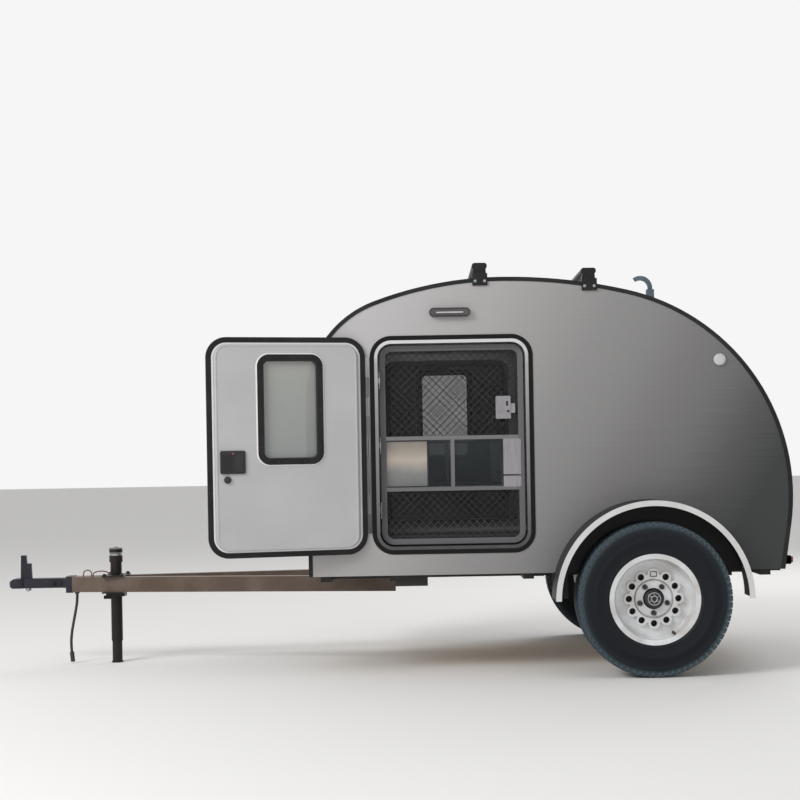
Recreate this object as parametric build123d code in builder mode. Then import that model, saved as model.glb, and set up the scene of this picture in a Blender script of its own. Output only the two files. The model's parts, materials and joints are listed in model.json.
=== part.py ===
from build123d import *
import math
import os

os.makedirs("parts", exist_ok=True)

# Teardrop camping trailer, in millimetres.
# X runs from the hitch to the tail, Y from the near side to the far side, Z up from the ground.
# The origin lies on the ground under the middle of the whole trailer.

# Side outline of the body: tangent arcs on both sides of the highest point
apex_x = 555
apex_z = 1825
front_roof_radius = 1713
front_roof_turn = 20
nose_radius = 470
rear_roof_radius = 2494
rear_roof_turn = 13.5
tail_radius = 967
tail_turn = 85
wall_foot_z = 465

# Shell
body_half_width = 760
wall_thickness = 38
roof_thickness = 38
floor_thickness = 38
seat_gap = 0.3

# Edge rails on the rims of the side walls
rail_height = 14
rail_lip_drop = 5
rail_lip_thickness = 2.5

# Tail hatch
hatch_hinge_angle = 69.5
hatch_side_gap = 5
hatch_end_gap = 6
hatch_sill_height = 80
hatch_knuckle_radius = 6
hatch_knuckle_clearance = 5
hatch_strap_width = 42
hatch_strap_thickness = 3
hatch_strap_sink = 2
hatch_knuckle_count = 7

# Doorways, doors and screens
doorway_x = 321.5
doorway_sill = 37
ring_width = 755
ring_height = 1012
ring_radius = 100
ring_face = 18
ring_thickness = 3
jamb_face = 18
jamb_play = 0.5
door_open_angle = 163
plug_gap = 6
plug_hinge_gap = 20
plug_depth = 30
leaf_overlap = 30
leaf_edge_lap = 15
leaf_edge_thickness = 10
leaf_skin_thickness = 6
leaf_seal_gap = 1.3
hinge_offset_x = 8
hinge_proud = 8
hinge_radius = 4.5
hinge_plate_width = 24
hinge_knuckle_count = 9
hinge_knuckle_gap = 0.5
window_width = 305
window_height = 500
window_radius = 55
window_frame_face = 26
window_frame_proud = 6
window_rise = 170
window_shift = -8
glass_thickness = 4
latch_width = 115
latch_height = 104
latch_from_edge = 110
latch_drop = 66
latch_proud = 7
lock_drop = 79
lock_radius = 16
latch_rim = 12
latch_corner = 8
paddle_shift = 14
paddle_side = 15
paddle_end = 10
paddle_depth = 5
lock_shift = 25
lock_rim = 4
screen_gap = 14
screen_hinge_gap = 7
screen_hinge_depth = 8
screen_arm_thickness = 5
screen_thickness = 12
screen_side_gap = 8
screen_stile = 26
screen_bar = 18
screen_mesh_thickness = 1
screen_band_top = 31
screen_band_bottom = -206
screen_knuckle_radius = 5
screen_knuckle_length = 25
screen_hinge_spread = 300

# Chassis
chassis_height = 50
chassis_tube = 50
chassis_drop = 28
chassis_inset = 280
chassis_front_inset = 38
chassis_rear_inset = 47
crossmembers = [20, 640, 1090, 1560]
stub_length = 150
stub_drop = 25

# Tongue
tongue_height = 76
tongue_tube = 51
tongue_front_x = -1590
tongue_front_y = 27
tongue_rear_x = 41
tongue_inset = 450

# Coupler
coupler_nose_x = -1918
coupler_neck_x = -1655
coupler_width = 62
coupler_height = 48
coupler_drop = 6
ball_radius = 25.7
ball_wall = 20
socket_depth = 20
nose_top_slope = 28
nose_top_drop = 17
nose_under_slope = 18
nose_under_rise = 12
collar_width = 100
collar_thickness = 34
collar_rise = 3
lever_lead = 15
lever_thickness = 18
lever_height = 117
lever_step_height = 76
lever_tip_width = 26
lever_step_width = 25
lever_flare = 3

# Jack
jack_x = -1378
jack_tube_radius = 28.5
jack_tube_wall = 3
jack_leg_radius = 25
jack_tube_bottom_z = 110
jack_head_rise = 115
jack_cap_height = 26
jack_cap_rim = 5
jack_collar_drop = 12
jack_collar_height = 33
jack_leg_engagement = 200
jack_plate_thickness = 6
jack_foot_thickness = 8
jack_plate_length = 110
jack_plate_width = 220
jack_bracket_length = 93
jack_bracket_width = 80
jack_bracket_height = 20
jack_pin_radius = 9
jack_pin_reach = 64
jack_pin_sink = 3

# Axle and wheels
axle_x = 1216
tyre_radius = 352
tyre_width = 215
wheel_offset = 132
rim_radius = 206
flange_height = 16
rim_half_width = 88
barrel_thickness = 6
disc_thickness = 10
rim_bore_radius = 48
centre_pad_radius = 80
centre_pad_proud = 34
dish_proud = 24
dish_radius = 170
dish_wall_proud = 52
spider_proud = 40
spider_inner_radius = 90
scallop_radius = 25
hand_hole_places = 12
hand_hole_radius = 15
hand_hole_circle = 112
lug_count = 5
lug_circle = 65
lug_radius = 10
lug_height = 14
lug_pocket_radius = 14
lug_pocket_depth = 8
hub_flange_radius = 75
hub_flange_thickness = 12
hub_barrel_radius = 42
hub_barrel_length = 80
drum_radius = 135
drum_depth = 50
drum_wall = 8
cap_radius = 42
cap_proud = 62
cap_round = 6
spindle_radius = 16
spindle_play = 0.05
beam_size = 60
beam_lead = 130
arm_thickness = 38
arm_inset = 55

# Fenders
arch_gap = 95
arch_sheet = 3
arch_lip_face = 25
arch_lip_thickness = 6
arch_overhang = 243
arch_skirt_z = 345
arch_skirt_width = 75

# Roof rack
rack_bars = [460, 966]
rack_height = 86
rack_bar_depth = 70
rack_bar_height = 28
rack_foot_length = 76
rack_foot_width = 46
rack_foot_drop = 30
rack_inset = 25
rack_end_inset = 8
clamp_length = 70
clamp_thickness = 7
clamp_drop = 22
clamp_head = 34

# Curved arm on the near edge rail
arm_x = 1249
arm_inset_y = 19
arm_arc_radius = 46
arm_arc_turn = 125
arm_tube_radius = 10
arm_base = 34
arm_rise = 41

# Cabin furniture
galley_reach = 637
footwell_inset = 237
footwell_height = 307
panel_thickness = 18
counter_height = 190
counter_thickness = 25
high_shelf_height = 260
galley_depth = 330
galley_bays = 3
mattress_thickness = 150
mattress_gap = 4
mattress_side_gap = 20
mattress_corner = 40
mattress_edge = 25

# Lamps and small fittings
porch_lamp_shift = -3.5
porch_lamp_rise = 104
porch_lamp_length = 190
porch_lamp_height = 42
porch_lamp_depth = 28
cap_x = 1563
cap_z = 1439
inlet_radius = 27.5
inlet_depth = 12
inlet_round = 4
bumper_gap = 8
bumper_depth = 40
bumper_height = 41
bumper_rise = 18
bumper_inset = 60
bumper_wall = 3
bumper_corner = 8
bumper_bracket_inset = 12
bumper_bracket_lift = 4
bumper_bracket_seat = 2
tail_lamp_inset = 160
tail_lamp_width = 150
tail_lamp_height = 32
tail_lamp_depth = 12
tail_lamp_corner = 15

# Wiring harness that hangs from the tongue
harness_diameter = 14
harness_route = [
    (-1574, -16, 352),
    (-1574, -16, 316),
    (-1583, -19, 262),
    (-1594, -22, 206),
    (-1604, -24, 150),
    (-1608, -23, 96),
    (-1605, -20, 58),
]
harness_plug_radius = 11
harness_plug_length = 50
harness_plug_round = 2
grommet_radius = 12


def ray(angle):
    return Vector(math.cos(math.radians(angle)), math.sin(math.radians(angle)))


# Centres and ends of the outline's arcs, in the side view
front_roof_centre = Vector(apex_x, apex_z - front_roof_radius)
nose_centre = front_roof_centre + ray(90 + front_roof_turn) * (front_roof_radius - nose_radius)
rear_roof_centre = Vector(apex_x, apex_z - rear_roof_radius)
tail_centre = rear_roof_centre + ray(90 - rear_roof_turn) * (rear_roof_radius - tail_radius)
tail_end_angle = 90 - rear_roof_turn - tail_turn
front_x = nose_centre.X - nose_radius


def rear_x(height, step=0):
    """X of the straight tail edge at a height, with the outline moved outwards by step."""
    end = tail_centre + ray(tail_end_angle) * (tail_radius + step)
    return end.X - (end.Y - height) * math.tan(math.radians(-tail_end_angle))


def roof_z(x, step=0):
    """Height of the roofline above a point of the X axis."""
    if x < (front_roof_centre + ray(90 + front_roof_turn) * front_roof_radius).X:
        centre, radius = nose_centre, nose_radius
    elif x < apex_x:
        centre, radius = front_roof_centre, front_roof_radius
    elif x < (rear_roof_centre + ray(90 - rear_roof_turn) * rear_roof_radius).X:
        centre, radius = rear_roof_centre, rear_roof_radius
    else:
        centre, radius = tail_centre, tail_radius
    return centre.Y + math.sqrt((radius + step) ** 2 - (x - centre.X) ** 2)


def body_outline(step=0, mode=Mode.ADD):
    """Face inside the side outline, moved outwards by step."""
    with BuildLine() as outline:
        Line((front_x - step, wall_foot_z), (front_x - step, nose_centre.Y))
        CenterArc(nose_centre, nose_radius + step, 180, front_roof_turn - 90)
        CenterArc(front_roof_centre, front_roof_radius + step, 90 + front_roof_turn, -front_roof_turn)
        CenterArc(rear_roof_centre, rear_roof_radius + step, 90, -rear_roof_turn)
        CenterArc(tail_centre, tail_radius + step, 90 - rear_roof_turn, -tail_turn)
        Line(tail_centre + ray(tail_end_angle) * (tail_radius + step), (rear_x(wall_foot_z, step), wall_foot_z))
        Line((rear_x(wall_foot_z, step), wall_foot_z), (front_x - step, wall_foot_z))
    make_face(outline.edges(), mode=mode)


def behind_ray(angle, mode):
    """Everything behind a line from the tail's centre through the outline at an angle."""
    reach = 3 * tail_radius
    with BuildLine() as wedge:
        Polyline(
            tail_centre,
            tail_centre + ray(angle) * reach,
            tail_centre + Vector(reach, reach),
            tail_centre + Vector(reach, -reach),
            tail_centre + Vector(0, -reach),
            close=True,
        )
    make_face(wedge.edges(), mode=mode)


def save(part, label):
    part.label = label
    export_step(part, f"parts/{label}.step")


def save_both_sides(part, label):
    save(part, f"{label}_near")
    save(mirror(part, about=Plane.XZ), f"{label}_far")


def side_plane(out):
    """Plane parallel to the near wall, at a distance from the middle of the trailer."""
    return Plane.XZ.offset(out)


inner_half_width = body_half_width - wall_thickness
chassis_bottom_z = wall_foot_z - chassis_drop
chassis_top_z = chassis_bottom_z + chassis_height
floor_top_z = chassis_top_z + floor_thickness
front_inner_x = front_x + roof_thickness
foot_rear_x = rear_x(wall_foot_z)
doorway_z = floor_top_z + doorway_sill + ring_height / 2
hatch_bottom_z = wall_foot_z + hatch_sill_height
bulkhead_x = foot_rear_x - galley_reach
footwell_end_x = foot_rear_x - footwell_inset
galley_shelf_z = floor_top_z + footwell_height

clear_width = ring_width - 2 * (ring_face + jamb_face)
clear_height = ring_height - 2 * (ring_face + jamb_face)
clear_radius = ring_radius - ring_face - jamb_face
cutout_width = ring_width - 2 * ring_face
cutout_height = ring_height - 2 * ring_face
cutout_radius = ring_radius - ring_face

# Side walls, each a full sandwich panel with its doorway cut through
with BuildPart() as wall:
    with BuildSketch(side_plane(inner_half_width)):
        body_outline()
        with Locations((doorway_x, doorway_z)):
            RectangleRounded(cutout_width, cutout_height, cutout_radius, mode=Mode.SUBTRACT)
    extrude(amount=wall_thickness)
save_both_sides(wall.part, "wall")

# Roof: one curved panel from the foot of the nose to the hatch hinge
with BuildPart() as roof:
    with BuildSketch(Plane.XZ):
        body_outline()
        body_outline(-roof_thickness, mode=Mode.SUBTRACT)
        behind_ray(hatch_hinge_angle, Mode.SUBTRACT)
    extrude(amount=inner_half_width, both=True)
save(roof.part, "roof")

# Hatch: the rest of the curve, down to the tail sill
hatch_half_width = inner_half_width - hatch_side_gap
hatch_gap_angle = math.degrees(hatch_end_gap / tail_radius)
hinge_point = tail_centre + ray(hatch_hinge_angle - hatch_gap_angle / 2) * (tail_radius + hatch_knuckle_radius)
with BuildPart() as hatch:
    with BuildSketch(Plane.XZ):
        body_outline()
        body_outline(-roof_thickness, mode=Mode.SUBTRACT)
        behind_ray(hatch_hinge_angle - hatch_gap_angle, Mode.INTERSECT)
        with Locations((rear_x(hatch_bottom_z), hatch_bottom_z)):
            Rectangle(4 * roof_thickness, apex_z, align=(Align.CENTER, Align.MAX), mode=Mode.SUBTRACT)
    extrude(amount=hatch_half_width, both=True)
    hatch_knuckle_length = 2 * hatch_half_width / hatch_knuckle_count
    for place in range(1, hatch_knuckle_count, 2):
        knuckle_y = -hatch_half_width + (place + 0.5) * hatch_knuckle_length
        with BuildSketch(Plane.XZ.offset(-knuckle_y)):
            with Locations(hinge_point):
                Circle(hatch_knuckle_radius)
        extrude(amount=hatch_knuckle_length / 2 - seat_gap, both=True)
        strap_plane = Plane(
            origin=(hinge_point.X, knuckle_y, hinge_point.Y),
            x_dir=(ray(hatch_hinge_angle - 90).X, 0, ray(hatch_hinge_angle - 90).Y),
            z_dir=(ray(hatch_hinge_angle).X, 0, ray(hatch_hinge_angle).Y),
        )
        with BuildSketch(strap_plane.offset(-hatch_knuckle_radius - hatch_strap_sink)):
            Rectangle(
                hatch_strap_width,
                hatch_knuckle_length - 2 * seat_gap,
                align=(Align.MIN, Align.CENTER),
            )
        extrude(amount=hatch_strap_thickness + hatch_strap_sink)
save(hatch.part, "hatch")

# Fixed half of the hatch hinge, on the roof's rear edge
with BuildPart() as hatch_hinge:
    for place in range(0, hatch_knuckle_count, 2):
        knuckle_y = -hatch_half_width + (place + 0.5) * hatch_knuckle_length
        with BuildSketch(Plane.XZ.offset(-knuckle_y)):
            with Locations(hinge_point):
                Circle(hatch_knuckle_radius)
        extrude(amount=hatch_knuckle_length / 2 - seat_gap, both=True)
    with BuildSketch(Plane.XZ):
        with BuildLine():
            start_angle = hatch_hinge_angle - hatch_gap_angle / 2
            strap_angle = math.degrees(hatch_strap_width / tail_radius)
            outer = tail_radius + seat_gap + hatch_strap_thickness
            inner = tail_radius + seat_gap
            CenterArc(tail_centre, outer, start_angle, strap_angle)
            CenterArc(tail_centre, inner, start_angle, strap_angle)
            Line(tail_centre + ray(start_angle) * inner, tail_centre + ray(start_angle) * outer)
            Line(
                tail_centre + ray(start_angle + strap_angle) * inner,
                tail_centre + ray(start_angle + strap_angle) * outer,
            )
        make_face()
    extrude(amount=hatch_half_width, both=True)
    for place in range(1, hatch_knuckle_count, 2):
        knuckle_y = -hatch_half_width + (place + 0.5) * hatch_knuckle_length
        with BuildSketch(Plane.XZ.offset(-knuckle_y)):
            with Locations(hinge_point):
                Circle(hatch_knuckle_radius + hatch_knuckle_clearance)
        extrude(amount=hatch_knuckle_length / 2, both=True, mode=Mode.SUBTRACT)
save(hatch_hinge.part, "hatch_hinge")

# Tail sill under the hatch
with BuildPart() as tail_sill:
    with BuildSketch(Plane.XZ):
        body_outline()
        body_outline(-roof_thickness, mode=Mode.SUBTRACT)
        with Locations((rear_x(hatch_bottom_z), wall_foot_z)):
            Rectangle(
                4 * roof_thickness,
                hatch_bottom_z - hatch_end_gap - wall_foot_z,
                align=(Align.CENTER, Align.MIN),
                mode=Mode.INTERSECT,
            )
    extrude(amount=inner_half_width, both=True)
save(tail_sill.part, "tail_sill")

# Edge rails: a cap on each wall's rim with a thin lip down its outside
with BuildPart() as edge_rail:
    with BuildSketch(side_plane(inner_half_width)):
        body_outline(rail_height)
        body_outline(seat_gap, mode=Mode.SUBTRACT)
    extrude(amount=wall_thickness + seat_gap + rail_lip_thickness)
    with BuildSketch(side_plane(body_half_width + seat_gap)):
        body_outline(rail_height)
        body_outline(-rail_lip_drop, mode=Mode.SUBTRACT)
    extrude(amount=rail_lip_thickness)
edge_rails = Compound([edge_rail.part, mirror(edge_rail.part, about=Plane.XZ)])
save(edge_rails, "edge_rails")

# Floor, between the walls, the nose and the tail sill
floor_rear_x = rear_x(chassis_top_z, -roof_thickness) - 1
with BuildPart() as floor:
    with BuildSketch(Plane.XY.offset(chassis_top_z)):
        with Locations((front_inner_x, 0)):
            Rectangle(
                floor_rear_x - front_inner_x,
                2 * inner_half_width,
                align=(Align.MIN, Align.CENTER),
            )
    extrude(amount=floor_thickness)
save(floor.part, "floor")

# Bulkhead: cabin end wall, galley floor over the footwell, and the footwell's end
with BuildPart() as bulkhead:
    with BuildSketch(Plane.XZ):
        with BuildLine():
            Polyline(
                (bulkhead_x, galley_shelf_z),
                (bulkhead_x, apex_z),
                (bulkhead_x + panel_thickness, apex_z),
                (bulkhead_x + panel_thickness, galley_shelf_z + panel_thickness),
                (footwell_end_x + panel_thickness, galley_shelf_z + panel_thickness),
                (footwell_end_x + panel_thickness, floor_top_z),
                (footwell_end_x, floor_top_z),
                (footwell_end_x, galley_shelf_z),
                close=True,
            )
        make_face()
        body_outline(-roof_thickness - seat_gap, mode=Mode.INTERSECT)
    extrude(amount=inner_half_width, both=True)
save(bulkhead.part, "bulkhead")

# Galley cabinet on the bulkhead's shelf: counter, uprights and a high shelf
galley_top_z = galley_shelf_z + panel_thickness
galley_counter_z = galley_top_z + counter_height
galley_high_shelf_z = galley_counter_z + high_shelf_height
with BuildPart() as galley:
    with BuildSketch(Plane.XY.offset(galley_counter_z)):
        with Locations((bulkhead_x + panel_thickness, 0)):
            Rectangle(galley_depth, 2 * inner_half_width, align=(Align.MIN, Align.CENTER))
    extrude(amount=counter_thickness)
    with BuildSketch(Plane.XY.offset(galley_high_shelf_z)):
        with Locations((bulkhead_x + panel_thickness, 0)):
            Rectangle(galley_depth / 2, 2 * inner_half_width, align=(Align.MIN, Align.CENTER))
    extrude(amount=panel_thickness)
    bay_pitch = (2 * inner_half_width - panel_thickness) / galley_bays
    with BuildSketch(Plane.XY.offset(galley_top_z)):
        for bay in range(galley_bays + 1):
            with Locations((bulkhead_x + panel_thickness, -inner_half_width + bay * bay_pitch)):
                Rectangle(galley_depth, panel_thickness, align=(Align.MIN, Align.MIN))
    extrude(amount=galley_counter_z - galley_top_z)
    with BuildSketch(Plane.XY.offset(galley_counter_z + counter_thickness)):
        for bay in range(galley_bays + 1):
            with Locations((bulkhead_x + panel_thickness, -inner_half_width + bay * bay_pitch)):
                Rectangle(galley_depth / 2, panel_thickness, align=(Align.MIN, Align.MIN))
    extrude(amount=galley_high_shelf_z - galley_counter_z - counter_thickness)
save(galley.part, "galley_cabinet")

# Mattress over the whole cabin floor
with BuildPart() as mattress:
    with BuildSketch(Plane.XY.offset(floor_top_z + seat_gap)):
        with Locations(((front_inner_x + footwell_end_x) / 2, 0)):
            RectangleRounded(
                footwell_end_x - front_inner_x - 2 * mattress_gap,
                2 * (inner_half_width - mattress_side_gap),
                mattress_corner,
            )
    extrude(amount=mattress_thickness)
    fillet(mattress.edges().group_by(Axis.Z)[-1], mattress_edge)
save(mattress.part, "mattress")

# Doorway frames: outer ring, sleeve through the wall and inner ring, with the hinge strip
hinge_x = doorway_x - ring_width / 2 - hinge_offset_x
hinge_out = body_half_width + hinge_proud
leaf_width = clear_width + 2 * leaf_overlap
leaf_height = clear_height + 2 * leaf_overlap
leaf_radius = clear_radius + leaf_overlap
hinge_length = leaf_height - 2 * leaf_radius
knuckle_pitch = hinge_length / hinge_knuckle_count
plug_outer_out = body_half_width + ring_thickness + leaf_seal_gap
plug_inner_out = plug_outer_out - plug_depth
screen_outer_out = plug_inner_out - screen_gap
screen_inner_out = screen_outer_out - screen_thickness
jamb_inner_out = screen_inner_out - 2
clear_left_x = doorway_x - clear_width / 2
screen_hinge_x = clear_left_x + screen_hinge_gap
screen_hinge_out = body_half_width - screen_hinge_depth
screen_hinge_zs = [doorway_z - screen_hinge_spread, doorway_z, doorway_z + screen_hinge_spread]

with BuildPart() as jamb:
    with BuildSketch(side_plane(body_half_width)):
        with Locations((doorway_x, doorway_z)):
            RectangleRounded(ring_width, ring_height, ring_radius)
    extrude(amount=ring_thickness)
    with BuildSketch(side_plane(jamb_inner_out)):
        with Locations((doorway_x, doorway_z)):
            RectangleRounded(ring_width, ring_height, ring_radius)
    extrude(amount=inner_half_width - jamb_inner_out)
    with BuildSketch(side_plane(jamb_inner_out)):
        with Locations((doorway_x, doorway_z)):
            RectangleRounded(
                cutout_width - 2 * jamb_play,
                cutout_height - 2 * jamb_play,
                cutout_radius - jamb_play,
            )
    extrude(amount=body_half_width - jamb_inner_out)
    with BuildSketch(side_plane(jamb_inner_out)):
        with Locations((doorway_x, doorway_z)):
            RectangleRounded(clear_width, clear_height, clear_radius)
    extrude(amount=body_half_width + ring_thickness - jamb_inner_out, mode=Mode.SUBTRACT)
    # hinge strip beside the ring, with every other knuckle
    with BuildSketch(side_plane(body_half_width)):
        with Locations((hinge_x + hinge_offset_x + 1, doorway_z)):
            Rectangle(hinge_plate_width + 1, hinge_length, align=(Align.MAX, Align.CENTER))
    extrude(amount=ring_thickness)
    for place in range(0, hinge_knuckle_count, 2):
        knuckle_z = doorway_z - hinge_length / 2 + place * knuckle_pitch + hinge_knuckle_gap / 2
        with BuildSketch(Plane.XY.offset(knuckle_z)):
            with Locations((hinge_x, -hinge_out)):
                Circle(hinge_radius)
                Rectangle(
                    hinge_radius,
                    hinge_out - body_half_width - ring_thickness / 2,
                    align=(Align.CENTER, Align.MIN),
                )
        extrude(amount=knuckle_pitch - hinge_knuckle_gap)
    # lugs at the sleeve's mouth that carry the screen
    for lug_z in screen_hinge_zs:
        with BuildSketch(Plane.XY.offset(lug_z - screen_knuckle_length / 2)):
            with Locations((screen_hinge_x, -screen_hinge_out)):
                Circle(screen_knuckle_radius)
                Rectangle(
                    screen_hinge_gap + 1,
                    screen_knuckle_radius,
                    align=(Align.MAX, Align.CENTER),
                )
        extrude(amount=screen_knuckle_length)
save_both_sides(jamb.part, "door_jamb")

# Door leaf: foam-cored plug with an outer skin, the window and the latch cut through
plug_width = clear_width - plug_gap - plug_hinge_gap
plug_height = clear_height - 2 * plug_gap
plug_radius = clear_radius - plug_gap
plug_x = doorway_x + (plug_hinge_gap - plug_gap) / 2
window_x = doorway_x + window_shift
window_z = doorway_z + window_rise
latch_x = doorway_x + leaf_width / 2 - latch_from_edge
latch_z = doorway_z - latch_drop
lock_z = latch_z - lock_drop
lock_x = latch_x + lock_shift
latch_body_width = latch_width - 2 * latch_rim
latch_body_height = latch_height - 2 * latch_rim
window_cut_width = window_width - window_frame_face
window_cut_height = window_height - window_frame_face
window_cut_radius = window_radius - window_frame_face / 2
cut_depth = plug_depth + leaf_skin_thickness
with BuildPart() as door_panel:
    with BuildSketch(side_plane(plug_inner_out)):
        with Locations((plug_x, doorway_z)):
            RectangleRounded(plug_width, plug_height, plug_radius)
    extrude(amount=plug_depth)
    with BuildSketch(side_plane(plug_outer_out)):
        with Locations((plug_x, doorway_z)):
            RectangleRounded(
                plug_width - 2 * leaf_edge_lap - 2 * jamb_play,
                plug_height - 2 * leaf_edge_lap - 2 * jamb_play,
                plug_radius - leaf_edge_lap - jamb_play,
            )
    extrude(amount=leaf_skin_thickness)
    with BuildSketch(side_plane(plug_inner_out)):
        with Locations((window_x, window_z)):
            RectangleRounded(window_cut_width, window_cut_height, window_cut_radius)
        with Locations((latch_x, latch_z)):
            Rectangle(latch_body_width, latch_body_height)
        with Locations((lock_x, lock_z)):
            Circle(lock_radius - lock_rim)
    extrude(amount=cut_depth, mode=Mode.SUBTRACT)

# Door edge frame: flat ring that laps over the doorway ring, with the moving knuckles
with BuildPart() as door_edge:
    with BuildSketch(side_plane(plug_outer_out)):
        with Locations((doorway_x, doorway_z)):
            RectangleRounded(leaf_width, leaf_height, leaf_radius)
        with Locations((plug_x, doorway_z)):
            RectangleRounded(
                plug_width - 2 * leaf_edge_lap,
                plug_height - 2 * leaf_edge_lap,
                plug_radius - leaf_edge_lap,
                mode=Mode.SUBTRACT,
            )
    extrude(amount=leaf_edge_thickness)
    for place in range(1, hinge_knuckle_count, 2):
        knuckle_z = doorway_z - hinge_length / 2 + place * knuckle_pitch + hinge_knuckle_gap / 2
        with BuildSketch(Plane.XY.offset(knuckle_z)):
            with Locations((hinge_x, -hinge_out)):
                Circle(hinge_radius)
                Rectangle(
                    doorway_x - leaf_width / 2 - hinge_x + 1,
                    hinge_radius - 1,
                    align=(Align.MIN, Align.CENTER),
                )
        extrude(amount=knuckle_pitch - hinge_knuckle_gap)

# Window frame: a clamp ring on both faces of the leaf, joined through the cut
glass_width = window_width - 2 * window_frame_face
glass_height = window_height - 2 * window_frame_face
glass_radius = window_radius - window_frame_face
glass_mid_out = plug_outer_out - plug_depth / 2
with BuildPart() as window_frame:
    with BuildSketch(side_plane(plug_inner_out - window_frame_proud)):
        with Locations((window_x, window_z)):
            RectangleRounded(window_width, window_height, window_radius)
    extrude(amount=window_frame_proud)
    with BuildSketch(side_plane(plug_outer_out + leaf_skin_thickness)):
        with Locations((window_x, window_z)):
            RectangleRounded(window_width, window_height, window_radius)
    extrude(amount=window_frame_proud)
    with BuildSketch(side_plane(plug_inner_out)):
        with Locations((window_x, window_z)):
            RectangleRounded(
                window_cut_width - 2 * jamb_play,
                window_cut_height - 2 * jamb_play,
                window_cut_radius - jamb_play,
            )
    extrude(amount=cut_depth)
    with BuildSketch(side_plane(plug_inner_out - window_frame_proud)):
        with Locations((window_x, window_z)):
            RectangleRounded(glass_width, glass_height, glass_radius)
    extrude(amount=cut_depth + 2 * window_frame_proud, mode=Mode.SUBTRACT)

with BuildPart() as window_glass:
    with BuildSketch(side_plane(glass_mid_out)):
        with Locations((window_x, window_z)):
            RectangleRounded(
                glass_width - 2 * seat_gap,
                glass_height - 2 * seat_gap,
                glass_radius - seat_gap,
            )
    extrude(amount=glass_thickness)

# Latch: inner plate, body through the leaf, outer paddle plate and the lock barrel
with BuildPart() as latch:
    with BuildSketch(side_plane(plug_inner_out - latch_proud)):
        with Locations((latch_x, latch_z)):
            RectangleRounded(latch_width, latch_height, latch_corner)
    extrude(amount=latch_proud)
    with BuildSketch(side_plane(plug_inner_out)):
        with Locations((latch_x, latch_z)):
            Rectangle(latch_body_width - 2 * seat_gap, latch_body_height - 2 * seat_gap)
    extrude(amount=cut_depth)
    with BuildSketch(side_plane(plug_outer_out + leaf_skin_thickness)):
        with Locations((latch_x, latch_z)):
            RectangleRounded(latch_width, latch_height, latch_corner)
    extrude(amount=latch_proud)
    with BuildSketch(side_plane(plug_outer_out + leaf_skin_thickness + latch_proud)):
        with Locations((latch_x - paddle_shift, latch_z)):
            RectangleRounded(
                latch_body_width - 2 * paddle_side,
                latch_body_height - 2 * paddle_end,
                latch_corner - 2,
            )
    extrude(amount=-paddle_depth, mode=Mode.SUBTRACT)
    with BuildSketch(side_plane(plug_inner_out - latch_proud)):
        with Locations((lock_x, lock_z)):
            Circle(lock_radius)
    extrude(amount=latch_proud)
    with BuildSketch(side_plane(plug_inner_out)):
        with Locations((lock_x, lock_z)):
            Circle(lock_radius - lock_rim - seat_gap)
    extrude(amount=cut_depth)
    with BuildSketch(side_plane(plug_outer_out + leaf_skin_thickness)):
        with Locations((lock_x, lock_z)):
            Circle(lock_radius)
    extrude(amount=latch_proud)

near_hinge_axis = Axis((hinge_x, -hinge_out, 0), (0, 0, 1))
door_trim = Compound([door_edge.part, window_frame.part])
for piece, label in (
    (door_panel.part, "door_panel"),
    (door_trim, "door_trim"),
    (window_glass.part, "door_glass"),
    (latch.part, "door_latch"),
):
    save(mirror(piece, about=Plane.XZ), f"{label}_far")
    save(piece.rotate(near_hinge_axis, -door_open_angle), f"{label}_near")

# Screen door: light frame with a crossbar pair and a centre post, on arms from the jamb's lugs
screen_left_x = clear_left_x + screen_side_gap
screen_right_x = doorway_x + clear_width / 2 - screen_side_gap
screen_width = screen_right_x - screen_left_x
screen_x = (screen_left_x + screen_right_x) / 2
screen_height = clear_height - 2 * screen_side_gap
screen_radius = clear_radius - screen_side_gap
with BuildPart() as screen_frame:
    with BuildSketch(side_plane(screen_inner_out)):
        with Locations((screen_x, doorway_z)):
            RectangleRounded(screen_width, screen_height, screen_radius)
            RectangleRounded(
                screen_width - 2 * screen_stile,
                screen_height - 2 * screen_stile,
                screen_radius - screen_stile,
                mode=Mode.SUBTRACT,
            )
        with Locations((screen_x, doorway_z + screen_band_top), (screen_x, doorway_z + screen_band_bottom)):
            Rectangle(screen_width - screen_stile, screen_bar)
        with Locations((screen_x, doorway_z + (screen_band_top + screen_band_bottom) / 2)):
            Rectangle(screen_bar, screen_band_top - screen_band_bottom)
    extrude(amount=screen_thickness)

# Arms screwed to the screen's hinge stile, with the moving knuckles
with BuildPart() as screen_arms:
    for lug_z in screen_hinge_zs:
        for end in (-1, 1):
            knuckle_mid_z = lug_z + end * (screen_knuckle_length + hinge_knuckle_gap)
            with BuildSketch(Plane.XY.offset(knuckle_mid_z - screen_knuckle_length / 2)):
                with Locations((screen_hinge_x, -screen_hinge_out)):
                    Circle(screen_knuckle_radius)
                with Locations((screen_hinge_x - 1, -screen_hinge_out)):
                    Rectangle(
                        screen_arm_thickness,
                        screen_hinge_out - screen_inner_out - 1,
                        align=(Align.MIN, Align.MIN),
                    )
            extrude(amount=screen_knuckle_length)
    with BuildSketch(side_plane(screen_inner_out)):
        with Locations((screen_left_x - seat_gap, doorway_z)):
            Rectangle(screen_stile, screen_height, align=(Align.MIN, Align.CENTER))
    extrude(amount=screen_thickness + seat_gap, mode=Mode.SUBTRACT)
save_both_sides(Compound([screen_frame.part, screen_arms.part]), "screen_frame")

# Mesh on the inner face of the screen frame
with BuildPart() as screen_mesh:
    with BuildSketch(side_plane(screen_inner_out - screen_mesh_thickness)):
        with Locations((screen_x, doorway_z)):
            RectangleRounded(
                screen_width - screen_stile,
                screen_height - screen_stile,
                screen_radius - screen_stile / 2,
            )
    extrude(amount=screen_mesh_thickness)
save_both_sides(screen_mesh.part, "screen_mesh")

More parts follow.
